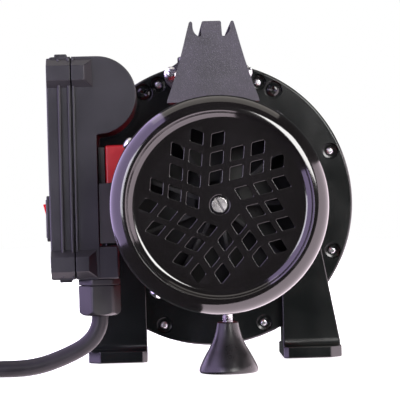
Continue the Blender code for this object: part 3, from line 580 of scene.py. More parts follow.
def polygon(radius, sides, turn=0.0, rounding=0.0, centre=(0, 0)):
    corners = [polar(radius, 360 / sides * k + turn) for k in range(sides)]
    return [(centre[0] + a, centre[1] + b) + ((rounding,) if rounding else ()) for a, b in corners]


def aimed(direction, at=(0, 0, 0), spin=0.0):
    # the transform that stands a part along a direction at a place
    turn = Vector(direction).to_track_quat("Z", "Y").to_matrix().to_4x4()
    return Matrix.Translation(at) @ turn @ Matrix.Rotation(math.radians(spin), 4, "Z")


# Mains lead: the route is the model's own, in millimetres from the shaft, heights above the floor
lead = {
    "gland": (-69.0, -88.0), "radius": 4.85, "coilCentre": (-203.0, -36.0), "outer": 56.0, "inner": 46.0,
    "layer": 9.86,
    "length": 1.24, "tieHalfWidth": 6.5, "plugAxis": (-267.0, 18.2), "plugStart": -11.0,
}


def leadRoute():
    x, y = lead["gland"]
    lying = lead["radius"] + 0.02
    route = [
        (x, y, 57.5), (x, y, 45), (x, y, 35), (-70.0, -88.2, 28), (-73.6, -88.7, 21.4), (-79.6, -89.4, 16.2),
        (-87.0, -90.0, 12.4), (-95.0, -90.6, 9.2), (-103.0, -91.1, 6.7), (-111.0, -91.6, 5.3),
        (-119.0, -91.9, lying),
        (-130.0, -92.0, lying), (-142.0, -92.0, lying), (-154.0, -92.0, lying), (-165.5, -92.0, lying),
        (-178.0, -92.0, lying),
        (-191.0, -92.0, lying),
    ]
    centreX, centreY = lead["coilCentre"]

    def eased(angle, start, end):
        t = min(max((start - angle) / (start - end), 0.0), 1.0)
        return t * t * (3 - 2 * t)

    # three turns and a quarter: outer, inner, up a layer, and outer again
    steps = 156
    for k in range(steps + 1):
        angle = 270 - 1170 * k / steps
        onInner = eased(angle, -10, -70) - eased(angle, -650, -700)
        radius = lead["outer"] - (lead["outer"] - lead["inner"]) * onInner
        height = lying + lead["layer"] * eased(angle, -330, -395)
        overTie = min(abs((angle + 180) % 360 - 180), 60.0)
        height += 1.2 * math.exp(-((overTie / 22) ** 2))
        a, b = polar(radius, angle)
        route.append((centreX + a, centreY + b, height))
    plugX, plugZ = lead["plugAxis"]
    route += [(-259.4, -28.5, 15.0), (-262.2, -21.0, 16.2), (-265.6, -15.0, 17.6), (plugX, -10.0, plugZ),
              (plugX, -4.0, plugZ)]
    return route


def smoothLine(route, steps):
    ends = [2 * Vector(route[0]) - Vector(route[1])] + [Vector(p) for p in route]
    ends.append(2 * ends[-1] - ends[-2])
    line = []
    for a, b, c, d in zip(ends, ends[1:], ends[2:], ends[3:]):
        for n in range(steps):
            t = n / steps
            line.append(0.5 * (2 * b + (c - a) * t + (2 * a - 5 * b + 4 * c - d) * t * t
                               + (3 * b - a - 3 * c + d) * t**3))
    return line + [ends[-2]]


def makeLead():
    data = bpy.data.curves.new("mainsLead", "CURVE")
    data.dimensions = "3D"
    data.bevel_depth = lead["radius"] * mm
    data.bevel_resolution = 8
    data.use_fill_caps = True
    points = [shaftCentre + Vector((x, y, z + floorHeight)) * mm for x, y, z in smoothLine(leadRoute(), 3)]
    spline = data.splines.new("POLY")
    spline.points.add(len(points) - 1)
    for point, place in zip(spline.points, points):
        point.co = (*place, 1)
    spline.use_smooth = True
    data.materials.append(finish["cableSheath"])
    made = bpy.data.objects.new("mainsLead", data)
    bpy.context.scene.collection.objects.link(made)
    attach(made, "pump")
    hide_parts("cable", "cable_coil")
    print("lead length, m:", round(sum((b - a).length for a, b in zip(points, points[1:])), 3))
    return made


def makePlug():
    x, z = lead["plugAxis"]
    at = (x, lead["plugStart"], floorHeight + z)
    # tapered strain relief with cross slots, then the grip and the two-pin face
    relief = turned([(0, 0), (6.0, 0, 0.6), (7.9, 26, 1.0), (0, 26)], steps=40)
    slots = []
    for k in range(5):
        for turn in (0, 90):
            cutter = brick((-12, 3.6 + 4.6 * k + turn / 40, -2.2), (12, 5.2 + 4.6 * k + turn / 40, 2.2))
            swing(cutter, turn, "Y")
            core = turned([(0, 2), (5.2, 2), (6.6, 30), (0, 30)], steps=24)
            slots.append(carved(cutter, core))
    relief = carved(relief, *slots)
    grip = turned([(0, 25), (8.0, 25, 1.2), (13.6, 33.5, 3.0), (17.9, 42, 4.0), (17.9, 60, 1.2), (0, 60)],
                  steps=64)
    flats = [brick((-25, 28, side * 15.2 - 5), (25, 56, side * 15.2 + 5), 1.5) for side in (-1, 1)]
    hollows = [rod(3.2, 0, 46, 20, axis="Y", at=(side * 19.6, 10, 0)) for side in (-1, 1)]
    grip = carved(grip, *flats, *hollows)
    ribs = [turned([(13.9 + 0.9 * k, 34.2 + 2.2 * k, 0.4), (15.2 + 0.9 * k, 34.8 + 2.2 * k, 0.4),
                    (15.2 + 0.9 * k, 35.8 + 2.2 * k, 0.4), (13.9 + 0.9 * k, 36.4 + 2.2 * k, 0.4)], 48, True)
            for k in range(3)]
    bodyShape = gathered(relief, grip, *ribs)
    shift(bodyShape, at)
    made = finished("plugBody", bodyShape, "mouldedRubber", stands=("plug",), sharp=40)
    pins = []
    for side in (-1, 1):
        pins.append(turned([(0, 58), (2.1, 58, 0.2), (2.1, 69, 0.2), (2.4, 69.4, 0.2), (2.4, 77, 1.2),
                            (1.4, 79, 0.5), (0, 79)], 24, at=(at[0] + side * 9.5, at[1], at[2])))
    pinPiece = finished("plugPins", gathered(*pins), "zincPlate")
    return made, pinPiece


def makeCoilTie():
    x, y = lead["coilCentre"]
    middle = x + (lead["outer"] + lead["inner"]) / 2
    half, high = 10.85 + 1.4, 21.6 + floorHeight + 0.3
    low = floorHeight + 0.05
    outer = [(middle - half, low, 3.5), (middle + half, low, 3.5), (middle + half, high, 5.0),
             (middle - half, high, 5.0)]
    inner = [(a + math.copysign(0.9, middle - a), b + (0.9 if b < floorHeight + 9 else -0.9), r - 0.9) for a,
             b, r in outer]
    band = carved(plate(outer, y - lead["tieHalfWidth"], y + lead["tieHalfWidth"]),
                  plate(inner, y - 9, y + 9))
    band = softened(band, 0.25, 2, 60)
    lock = brick((middle + half - 3.0, y - 7.2, high - 12.0), (middle + half + 0.4, y + 7.2, high - 6.0), 0.6)
    return finished("leadTie", gathered(band, lock), "blackPlastic", stands=("coil_tie",))


leadPiece = makeLead()
plugPieces = makePlug()
tiePiece = makeCoilTie()
print("lead ready")


# Screws
def crossHead(radius, height, shank, length, washer=0.0):
    # a pan head with a cross recess; the head's seat is at 0 and it points along +Z
    head = turned([(0, -length), (shank - 0.4, -length), (shank, 0.5 - length), (shank, -0.1),
                   (radius, 0, 0.15), (radius, height * 0.55, height * 0.3),
                   (radius * 0.55, height, height * 0.4), (0, height)], 32, axis="Z")
    arms = []
    for turn in (20, 110):
        arm = plate([(-radius * 0.56, height + 1), (-radius * 0.56, height * 0.62),
                     (-radius * 0.2, height * 0.12), (radius * 0.2, height * 0.12),
                     (radius * 0.56, height * 0.62), (radius * 0.56, height + 1)], -radius * 0.11,
                    radius * 0.11)
        swing(arm, turn, "Z")
        arms.append(arm)
    head = carved(head, *arms)
    if washer:
        head = gathered(head,
                        turned([(shank + 0.2, -0.75, 0.15), (washer, -0.75, 0.25), (washer, -0.02, 0.25),
                                (shank + 0.2, -0.02, 0.15)], 32, True, axis="Z"))
    return head


def threadOutline(radius, depth, start, end, pitch):
    # a thread as close rings, from the axis out and back
    outline = [(0, start), (radius - depth, start)]
    count = int((end - start) / pitch)
    for k in range(count):
        outline += [(radius - depth, start + pitch * (k + 0.08)), (radius, start + pitch * (k + 0.42)),
                    (radius, start + pitch * (k + 0.58)), (radius - depth, start + pitch * (k + 0.92))]
    return outline + [(radius - depth, end), (0, end)]


# Fan cover: a deep pressing with a dished face of forty leaning vents
fanCover = {
    "radius": 60.4, "mouth": -110.0, "face": -170.0, "rimCurve": 8.6, "lip": 51.5, "dish": 48.6,
    "dishDepth": 3.2,
    "wall": 1.2, "seam": 44.0, "ventEdge": 0.35, "shaftHole": 5.5, "ventFirst": (15.04, -47.0),
    "ventStepOut": (10.52, -58.6), "ventStepAcross": (11.6, -131.3),
    "ventHalfSide": 3.55, "ventCorner": 0.8, "ventGrid": [(0, 0), (0, 1), (0, 2), (0, 3), (1, 0), (1, 1),
                                                          (1, 2), (2, 0)],
    "screwY": -116.0,
}


def ventOutlines():
    stepOut, stepAcross = Vector(polar(*fanCover["ventStepOut"])), Vector(polar(*fanCover["ventStepAcross"]))
    halfSide = fanCover["ventHalfSide"]
    along, across = stepOut.normalized() * halfSide, stepAcross.normalized() * halfSide
    first = Vector(polar(*fanCover["ventFirst"]))
    outlines = []
    for sector in range(5):
        spin = Matrix.Rotation(math.radians(72 * sector), 2)
        for i, j in fanCover["ventGrid"]:
            middle = first + stepOut * i + stepAcross * j
            corners = [middle + along + across, middle - along + across, middle - along - across,
                       middle + along - across]
            outlines.append([(*(spin @ corner), fanCover["ventCorner"]) for corner in corners])
    return outlines


def makeFanCover():
    facts = fanCover
    floorLevel, wall, seam = facts["face"] + facts["dishDepth"], facts["wall"], facts["seam"]
    ring = turned([(facts["radius"], facts["mouth"]), (facts["radius"], facts["face"], facts["rimCurve"]),
                   (facts["lip"], facts["face"], 0.8), (facts["dish"], floorLevel, 2.3), (seam, floorLevel),
                   (seam, floorLevel + wall), (facts["dish"] + wall, floorLevel + wall, 2.3),
                   (facts["lip"] + 0.4, facts["face"] + wall, 0.8),
                   (facts["radius"] - wall, facts["face"] + wall, facts["rimCurve"] - wall),
                   (facts["radius"] - wall, facts["mouth"])], 128, True, segments=10)
    grille = plate(polygon(seam, 128), floorLevel, floorLevel + wall)
    holes = [plate(outline, floorLevel - 2, floorLevel + wall + 2, segments=4) for outline in ventOutlines()]
    holes.append(plate(polygon(facts["shaftHole"], 40), floorLevel - 2, floorLevel + wall + 2))
    grille = carved(grille, gathered(*holes))
    grille = softened(grille, facts["ventEdge"], 2, 50, where=lambda e: all(
        abs(v.co.y - floorLevel) < 0.01 and math.hypot(v.co.x, v.co.z) < seam - 0.5 for v in e.verts))
    shape = gathered(ring, grille)
    bmesh.ops.remove_doubles(shape, verts=shape.verts[:], dist=0.003)
    hidden = [f for f in shape.faces if all(abs(math.hypot(v.co.x, v.co.z) - seam) < 0.01 for v in f.verts)]
    bmesh.ops.delete(shape, geom=hidden, context="FACES")
    finished("fanCoverShell", shape, "coverEnamel", stands=("fan_cover",), sharp=50)


def makeCoverScrews():
    head = crossHead(3.7, 2.9, 1.6, 8.0)
    for k in range(4):
        x, z = polar(fanCover["radius"] + 0.5, 54 + 90 * k)
        turn = aimed((x, 0, z), (x, fanCover["screwY"], z), 31 * k)
        finished(f"coverScrew{k + 1}", copied(head, turn), "zincPlate", stands=(f"cover_screw_{k + 1}",))
    head.free()


makeFanCover()
makeCoverScrews()
print("fan cover ready")


# Motor bracket: the cast flange behind the motor
bracket = {
    "radius": 89.0, "boltCircle": 82.0, "boltAngles": [22.5 + 45 * k for k in range(8)],
    "counterbore": 4.9, "recessAngles": (60.0, 120.0), "recessRadius": 81.6,
    "handleScrewAngles": (105.7, 74.3), "handleScrewCircle": 85.0,
}


def makeBracket():
    facts = bracket
    body = turned([(13.2, 5.8), (13.2, 12), (facts["radius"], 12, 0.5), (facts["radius"], 0, 1.4),
                   (60.5, 0, 0.6), (60.0, 0.9, 0.5), (58.6, 0.9), (47.9, 0), (47.9, -8), (44, -8), (44, 0),
                   (25, 0), (24, -12), (17.8, -9.7), (17.8, 1.3), (8, 1.3), (8, 5.8)], 160, True)
    tools = []
    for angle in facts["boltAngles"]:
        x, z = polar(facts["boltCircle"], angle)
        tools.append(turned([(0, -2), (5.5, -2), (5.5, -0.35), (facts["counterbore"], 0.35),
                             (facts["counterbore"], 3.7, 0.5), (2.7, 4.0), (2.7, 14), (0, 14)], 32,
                            at=(x, 0, z)))
    for angle in facts["recessAngles"]:
        x, z = polar(facts["recessRadius"], angle)
        tools.append(turned([(0, -2), (6.2, -2), (6.2, -0.35), (5.5, 0.35), (5.5, 2.8, 0.5), (0, 2.8)], 32,
                            at=(x, 0, z)))
    body = carved(body, *tools)
    finished("bracketCasting", body, "castBlack", stands=("motor_bracket",),
             sharp=38)
    screw = crossHead(4.4, 1.9, 2.0, 4.0)
    screws = []
    for angle in facts["recessAngles"]:
        x, z = polar(facts["recessRadius"], angle)
        screws.append(copied(screw, aimed((0, -1, 0), (x, 2.9, z), angle)))
    screw.free()
    finished("bracketScrews", gathered(*screws), "castBlack")


# Casing bolts: the bright tips stand in the flange's counterbores
def makeCasingBolts():
    tip = turned(threadOutline(2.4, 0.32, 1.55, 23.5, 0.8)[1:-1] + [(2.1, 24.6), (0, 24.6)], 24)
    start = turned([(0, 1.5), (1.5, 1.5, 0.3), (2.1, 2.0)], 24)
    flange = turned([(0, 24.6), (5.0, 24.6, 0.3), (5.0, 25.5, 0.5), (3.9, 25.9), (0, 25.9)], 32)
    head = softened(plate(polygon(4.25, 6), 25.7, 28.55), 0.25, 2)
    dish = turned([(0, 29.5), (3.2, 29.5), (2.5, 28.0, 0.3), (0, 28.0)], 24)
    bolt = gathered(tip, start, flange, carved(head, dish))
    for k, angle in enumerate(bracket["boltAngles"]):
        x, z = polar(bracket["boltCircle"], angle)
        place = Matrix.Translation((x, 0, z)) @ Matrix.Rotation(math.radians(13 * k), 4, "Y")
        finished(f"casingBolt{k + 1}", copied(bolt, place), "zincPlate", stands=(f"casing_screw_{k + 1}",))
    bolt.free()


makeBracket()
makeCasingBolts()
print("bracket ready")


# Feet: a tapered pillar on a sole with two cut corners
feet = {
    "inner": 42.5, "outer": 79.2, "sole": 7.3, "rear": -16.0, "front": 40.0, "pillarRear": -10.0,
    "pillarFront": 16.0,
    "innerCut": 2.8, "outerCut": 7.3, "boltHole": 4.5,
}


def makeFoot(name, node, side):
    facts = feet
    low = floorHeight
    pillar = plate([(side * facts["inner"], low + 3), (side * (facts["outer"] - 0.9), low + 3),
                    (side * (facts["outer"] - 1.0), low + 10), (side * 66, -20), (side * 60, -13),
                    (side * facts["inner"], -30)], facts["pillarRear"], facts["pillarFront"])
    pillar = softened(pillar, 0.7, 3)
    flare = plate([(facts["pillarRear"] + 1, low + 14), (facts["pillarRear"], low + 12.3),
                   (facts["pillarRear"] - 1.5, low + 8.8), (facts["pillarRear"] - 5.0, low + 7.0),
                   (facts["pillarRear"] + 1, low + 7.0)], facts["inner"] + 0.9, facts["outer"] - 2.2,
                  axis="X")
    if side < 0:
        bmesh.ops.mirror(flare, geom=flare.verts[:] + flare.edges[:] + flare.faces[:], axis="X",
                         merge_dist=-1)
        bmesh.ops.delete(flare, geom=[v for v in flare.verts if v.co.x > 0], context="VERTS")
    sole = plate([(side * facts["inner"], facts["rear"] + facts["innerCut"]),
                  (side * (facts["inner"] + facts["innerCut"]), facts["rear"]),
                  (side * (facts["outer"] - facts["outerCut"]), facts["rear"]),
                  (side * facts["outer"], facts["rear"] + facts["outerCut"]),
                  (side * facts["outer"], facts["front"], 4.0), (side * facts["inner"], facts["front"], 4.0)],
                 low, low + facts["sole"], "Z")
    sole = softened(sole, 0.7, 3, 28)
    body = welded(pillar, sole, flare)
    holeX = side * (facts["inner"] + facts["outer"]) / 2
    hole = turned([(0, low - 4), (facts["boltHole"], low - 4), (facts["boltHole"], low + 6.6),
                   (facts["boltHole"] + 1.5, low + 8.1), (facts["boltHole"] + 1.5, low + 12), (0, low + 12)],
                  40, axis="Z", at=(holeX, facts["front"] - 12, 0))
    room = rod(89.3, -0.3, 24.6, 160)
    motorRoom = rod(59.5, -40, 40, 96)
    body = carved(body, room, motorRoom, hole)
    finished(name, body, "castBlack", stands=(node,), sharp=34)


makeFoot("leftFootCasting", "left_foot", -1)
makeFoot("rightFootCasting", "right_foot", 1)
print("feet ready")


# Handle: a forked leg, the grip bar and the plate on the bracket
handle = {
    "top": 106.4, "rear": -99.0, "plate": 7.0, "front": -7.3, "gripUnder": 88.0, "soleTop": 63.3,
    "fork": [(5.6, 0.0, 1.0), (6.1, -8.8, 0.6), (7.6, -8.8, 0.5), (9.7, -7.2, 1.2), (10.9, -4.6, 1.4),
             (11.0, -0.8, 0.5), (11.8, 0.0, 0.55), (12.9, -0.3, 0.8), (13.6, -2.8), (14.6, -6.4, 2.0)],
}


def mirroredOutline(half):
    # half runs down the right side from the middle of the top
    return half + [(-corner[0], *corner[1:]) for corner in reversed(half)]


def makeHandle():
    facts = handle
    top = facts["top"]
    crown = [(x, top + drop, *more) for x, drop, *more in facts["fork"]]
    leg = crown + [(15.9, top - 11.4, 4.0), (17.6, top - 17.9, 5.0), (20.2, 79.5, 5.0), (23.3, 70, 4.0),
                   (26.5, 61.5, 1.0), (26.9, 59.5)]
    grip = crown + [(14.8, top - 9.4, 3.0), (14.8, facts["gripUnder"] + 3, 2.0),
                    (11.8, facts["gripUnder"], 1.5)]
    neck = crown + [(14.8, top - 9.4, 3.0), (16.5, 92, 3.0), (19, 88.4, 3.0), (27.5, 84, 2.0),
                    (27.5, 78, 3.0), (17, 66, 3.0)]
    parts = [
        softened(plate(mirroredOutline(leg), facts["rear"], facts["rear"] + facts["plate"]), 0.55, 3, 40),
        softened(plate(mirroredOutline(grip), facts["rear"] + 1.2, facts["front"] + 1.2), 0.5, 2, 40),
        softened(plate(mirroredOutline(neck), facts["front"], facts["front"] + 7.0), 0.6, 3, 40),
        brick((-25.8, facts["rear"] + 2, 59.4), (25.8, facts["rear"] + 22, facts["soleTop"]), 1.2),
        plate([(facts["rear"] + 6, 62.5), (facts["rear"] + 6, 87.5), (facts["rear"] + 20, 62.5)], -1.6, 1.6,
              axis="X"),
    ]
    body = welded(parts[0], *parts[1:])
    # the grip is hollow underneath, with cross ribs
    tools = []
    for k in range(6):
        start = facts["rear"] + 9.5 + 13.6 * k
        tools.append(brick((-9.5, start, facts["gripUnder"] - 4), (9.5, start + 11.6, top - 12.2), 1.0))
    for angle in bracket["handleScrewAngles"]:
        x, z = polar(bracket["handleScrewCircle"], angle)
        tools.append(rod(2.3, -20, 5, 24, at=(x, 0, z)))
    body = carved(body, *tools)
    finished("carryHandle", body, "sparkPlastic", stands=("handle",), sharp=36)
    screw = crossHead(4.3, 3.0, 2.0, 10.0, washer=4.6)
    for k, angle in enumerate(bracket["handleScrewAngles"]):
        x, z = polar(bracket["handleScrewCircle"], angle)
        turn = aimed((0, -1, 0), (x, facts["front"] - 1.0, z), 35 + 50 * k)
        finished(f"handleScrew{k + 1}", copied(screw, turn), "zincPlate", stands=(f"handle_screw_{k + 1}",))
    screw.free()
    soleScrew = crossHead(3.6, 2.4, 1.8, 6.0)
    screws = [copied(soleScrew, aimed((0, 0, 1), (side * 15, facts["rear"] + 15, facts["soleTop"] + 0.02),
                                      20)) for side in (-1, 1)]
    soleScrew.free()
    finished("handleSoleScrews", gathered(*screws), "zincPlate")


makeHandle()
print("handle ready")


# Switch box: a base with the capacitor's round housing, a gasket and a lid
box = {
    "left": -96.5, "part": -82.0, "right": -68.0, "bottom": -41.5, "top": 87.6, "rear": -100.0,
    "front": -36.0, "wall": 2.5,
    "sealHalf": 0.35,
    "bump": (-67.3, 64.9, 22.7), "bossHeights": (78.0, -32.5), "bossProud": 5.5, "screwProud": 1.2,
    "pedestal": -63.5, "wire": (-62.0, 4.0),
}


def boxBoss(side, z, left, right, hipped):
    face = box["rear"] if side < 0 else box["front"]
    proud = box["bossProud"]
    shape = plate([(face - side * 2, z - 9.0), (face, z - 8.2), (face + side * proud, z - 4.2),
                   (face + side * proud, z + 4.2), (face, z + 8.2), (face - side * 2, z + 9.0)], left, right,
                  axis="X")
    if hipped:
        far = [v for v in shape.verts if v.co.x > right - 0.1 and abs(v.co.y - face) > proud - 0.5]
        bmesh.ops.translate(shape, vec=(-5.2, 0, 0), verts=far)
    return softened(shape, 0.35, 2, 25)


def makeBoxBase():
    facts = box
    rear, front, bottom, top, wall = (box[key] for key in ("rear", "front", "bottom", "top", "wall"))
    bumpX, bumpZ, bumpRadius = facts["bump"]
    left = facts["part"] + facts["sealHalf"]
    arc = [(bumpX + a, bumpZ + b) for a, b in (polar(bumpRadius, 90 - 5 * k) for k in range(34))]
    shell = [(left, bottom), (facts["right"], bottom, 0.8), (facts["right"], bumpZ - bumpRadius, 1.2)]
    shell += list(reversed(arc)) + [(left, top)]
    body = softened(plate(shell, rear, front), 0.9, 3, 40,
                    where=lambda e: all(v.co.x > left + 0.5 for v in e.verts)
                    and abs(e.verts[0].co.y - e.verts[1].co.y) < 1)
    block = brick((facts["right"] - 1.5, rear + 0.3, bottom), (-57.3, -76.3, -22.8), 1.0)
    parts = [block]
    for side in (-1, 1):
        for z in facts["bossHeights"]:
            parts.append(boxBoss(side, z, left, -69.0, True))
    # a raised bead runs down each end face beside the parting line, and a small web joins the round housing
    for y in (rear - 0.45, front + 0.45):
        parts.append(brick((left + 0.25, y - 0.8, bottom + 0.6), (left + 1.55, y + 0.8, top - 0.6), 0.4, 2))
    parts.append(brick((-70.5, rear + 9, bottom - 0.6), (-58.5, -79, bottom + 1), 0.4))
    body = welded(body, *parts)
    room = brick((left - 5, rear + wall, bottom + wall), (facts["right"] - wall, front - wall, top - wall))
    canRoom = rod(20.2, rear + wall, front - wall, 64, at=(bumpX, 0, bumpZ))
    glandRoom = brick((left - 5, rear + wall, bottom + wall), (-59.5, -78.5, -25))
    glandHole = rod(8, bottom - 5, bottom + 8, 40,
                       axis="Z", at=(*lead["gland"], 0))
    wireHole = rod(5, -90, -60, 32, axis="X", at=(0, *facts["wire"]))
    body = carved(body, room, canRoom, glandRoom, glandHole, wireHole)
    finished("boxBaseShell", body, "satinPlastic", stands=("box_base",), sharp=34)


def makeBoxLid():
    facts = box
    rear, front, bottom, top, wall = (box[key] for key in ("rear", "front", "bottom", "top", "wall"))
    right = facts["part"] - facts["sealHalf"]
    corners = [(facts["left"] + 0.4, bottom, 1.2), (right, bottom), (right, top),
               (facts["left"] + 2.2, top, 1.2), (facts["left"], top - 3.4, 1.5), (facts["left"], 20)]
    body = softened(plate(corners, rear, front), 0.9, 3, 40,
                    where=lambda e: all(v.co.x < right - 0.5 for v in e.verts)
                    and abs(e.verts[0].co.y - e.verts[1].co.y) < 1)
    parts = []
    for side in (-1, 1):
        for z in facts["bossHeights"]:
            parts.append(boxBoss(side, z, facts["left"] + 0.3, right, False))
    for y in (rear - 0.5, front + 0.5):
        parts.append(brick((-90.1, y - 1.3, bottom + 1.2), (-88.1, y + 1.3, top - 1.2), 0.8, 3))
        parts.append(brick((right - 2.0, y - 1.1, bottom + 0.6), (right - 0.1, y + 1.1, top - 0.6), 0.7, 3))
    for z in (top - 0.2, bottom - 0.9):
        parts.append(brick((-91.6, rear + 3, z - 0.8), (-84.5, rear + 13, z + 1.9), 0.5, 2))
    body = welded(body, *parts)
    panel = brick((facts["left"] - 3, rear + 5, 22), (facts["left"] + 0.6, front - 5, top - 12), 0.3)
    screwFaces = [(-1, rear - facts["screwProud"]), (1, front + facts["screwProud"])]
    tools = [brick((facts["left"] + wall, rear + wall, bottom + wall), (right + 5, front - wall, top - wall)),
             brick((facts["left"] - 5, -82.8, -18), (facts["left"] + 5, -63.2, 6)), panel]
    for side, face in screwFaces:
        for z in facts["bossHeights"]:
            tools.append(turned([(0, facts["left"] - 3), (3.4, facts["left"] - 3),
                                 (3.4, facts["left"] + 3.6, 0.4), (0, facts["left"] + 3.6)], 32, axis="X",
                                at=(0, face, z)))
    body = carved(body, *tools)
    finished("boxLidShell", body, "satinPlastic", stands=("box_cover",), sharp=34)
    screw = crossHead(3.0, 2.0, 1.5, 5.0)
    screws = []
    for side, face in screwFaces:
        for z in facts["bossHeights"]:
            screws.append(copied(screw, aimed((-1, 0, 0), (facts["left"] + 3.5, face, z), 17 * side + z)))
    screw.free()
    finished("boxScrews", gathered(*screws), "zincPlate")
    # a blank panel on the lid's face
    rim = oblong(rear + 5.2, 22.2, front - 5.2, top - 12.2, 2.0)
    rim = plate(rim, facts["left"] + 0.1, facts["left"] + 0.5, axis="X")
    finished("boxPanel", softened(rim, 0.12, 2), "blackPlastic")


def makeBoxSeal():
    facts = box
    rear, front, bottom, top, wall = (box[key] for key in ("rear", "front", "bottom", "top", "wall"))
    outer = oblong(rear + 0.7, bottom + 0.7, front - 0.7, top - 0.7, 1.0)
    outer = plate(outer, facts["part"] - facts["sealHalf"], facts["part"] + facts["sealHalf"], axis="X")
    inner = brick((facts["part"] - 3, rear + wall, bottom + wall),
                  (facts["part"] + 3, front - wall, top - wall))
    finished("boxSeal", softened(carved(outer, inner), 0.12, 2, 50), "mouldedRubber", stands=("box_gasket",))
    foot = brick((facts["right"] + 0.3, -95, -19), (facts["pedestal"] - 0.3, -39, 35), 0.5)
    hole = rod(6, -80, -50, 32, axis="X", at=(0, *facts["wire"]))
    skirt = brick((facts["right"] + 0.2, rear + 1.2, -21), (-58.6, rear + 5.4, 14), 0.6)
    finished("boxSpacerPlate", carved(welded(foot, skirt), hole), "fanPlastic", stands=("box_spacer",))


# Switch: a framed rocker with a bar and a ring moulded in its two ends
switch = {"pivot": (-97.0, -73.0, -6.0), "reach": 4.2, "frame": (-99.0, 11.0, 13.4)}


def makeSwitch():
    x, y, z = switch["pivot"]
    frameX, halfY, halfZ = switch["frame"]
    rim = plate(oblong(y - halfY, z - halfZ, y + halfY, z + halfZ, 2.0), frameX, -96.8, axis="X")
    rim = softened(rim, 0.6, 3, 40, where=lambda e: all(v.co.x < -98 for v in e.verts))
    core = brick((-97.4, y - 9.4, z - 11.6), (-86.5, y + 9.4, z + 11.6), 0.4)
    lip = plate(oblong(y - 9.1, z - 11.2, y + 9.1, z + 11.2, 1.0), frameX - 0.5, frameX + 1.0, axis="X")
    body = carved(welded(rim, core, softened(lip, 0.25, 2, 50)),
                  brick((-110, y - 8.3, z - 10.4), (-89.5, y + 8.3, z + 10.4)))
    finished("switchFrame", body, "blackPlastic", stands=("switch_body",))
    reach = switch["reach"]
    rocker = plate([(-reach, 8.6, 0.7), (-1.9, 0, 4.0), (-2.0, -8.6, 0.6), (1.5, -8.6), (2.5, 0, 1.0),
                    (1.5, 8.6)], -8, 8, segments=8)
    rocker = softened(rocker, 0.35, 3, 50)
    bar = brick((-3.6, -0.5, 3.4), (-2.2, 0.5, 6.8), 0.15, 2)
    ring = turned([(1.1, -3), (1.7, -3), (1.7, 0), (1.1, 0)], 32, True, axis="X", at=(-1.9 + 0.35, 0, -5.2))
    rocker = carved(rocker, bar, ring)
    shift(rocker, (x, y, z))
    finished("switchKey", rocker, "redPlastic", body="switch_rocker", stands=("switch_rocker",))


makeBoxBase()
makeBoxLid()
makeBoxSeal()
makeSwitch()
print("switch box ready")


# Cable gland: collar, nut with a domed foot, and the clamping sleeve in its mouth
gland = {"flats": 22.0, "nutTop": -45.4, "nutBottom": -63.0, "collarTop": -41.8}


def hexNut(flats, low, high, lowRound, highRound):
    radius = flats / math.sqrt(3)
    body = softened(plate(polygon(radius, 6, 10, 1.4), low, high, axis="Z"), 0.35, 2, 40)
    envelope = turned([(0, low), (radius - lowRound * 0.9, low),
                       (radius - lowRound * 0.25, low + lowRound * 0.35, 0.8),
                       (radius + 0.15, low + lowRound * 1.3), (radius + 0.15, high - highRound),
                       (radius - highRound * 1.4, high), (0, high)], 64, axis="Z")
    return combined(body, "INTERSECT", envelope)


def makeGland():
    facts = gland
    place = (*lead["gland"], 0)
    collar = hexNut(facts["flats"], facts["nutTop"] + 0.3, facts["collarTop"], 0.5, 0.5)
    neck = rod(8.9, -58, -33.5, 40, axis="Z")
    collar = carved(welded(collar, neck), rod(5.25, -70, -20, 40, axis="Z"))
    shift(collar, place)
    finished("glandCollar", collar, "blackPlastic", stands=("gland_body",))
    nut = hexNut(facts["flats"], facts["nutBottom"], facts["nutTop"], 3.6, 0.8)
    bore = turned([(0, -80), (6.6, -80), (6.6, -62.4, 0.4), (5.4, -61.8), (5.4, -40), (0, -40)], 40, axis="Z")
    grip = rod(9.2, -60.9, -44, 40, axis="Z")
    nut = carved(nut, bore, grip)
    shift(nut, place)
    finished("glandNut", nut, "blackPlastic", stands=("gland_nut",))
    sleeve = turned([(5.0, -62.6, 0.3), (6.3, -62.6, 0.4), (6.3, -60.5), (5.0, -60.5)], 40, True, axis="Z",
                    at=place)
    finished("glandSleeve", sleeve, "mouldedRubber")


makeGland()
print("gland ready")


# Motor: a finned red frame between the bracket and the cast shield
motor = {
    "finRoot": 55.5, "finTip": 58.0, "bore": 48.3, "rear": -108.0, "front": -0.3, "fins": 60,
    "finTaper": 0.45,
    "boxPad": ((-63.5, -96, -20), (-44, -38, 36)), "handlePad": ((-22, -101, 40), (22, -74, 59.0)),
    "footPlace": (5.0, -99.0),
}


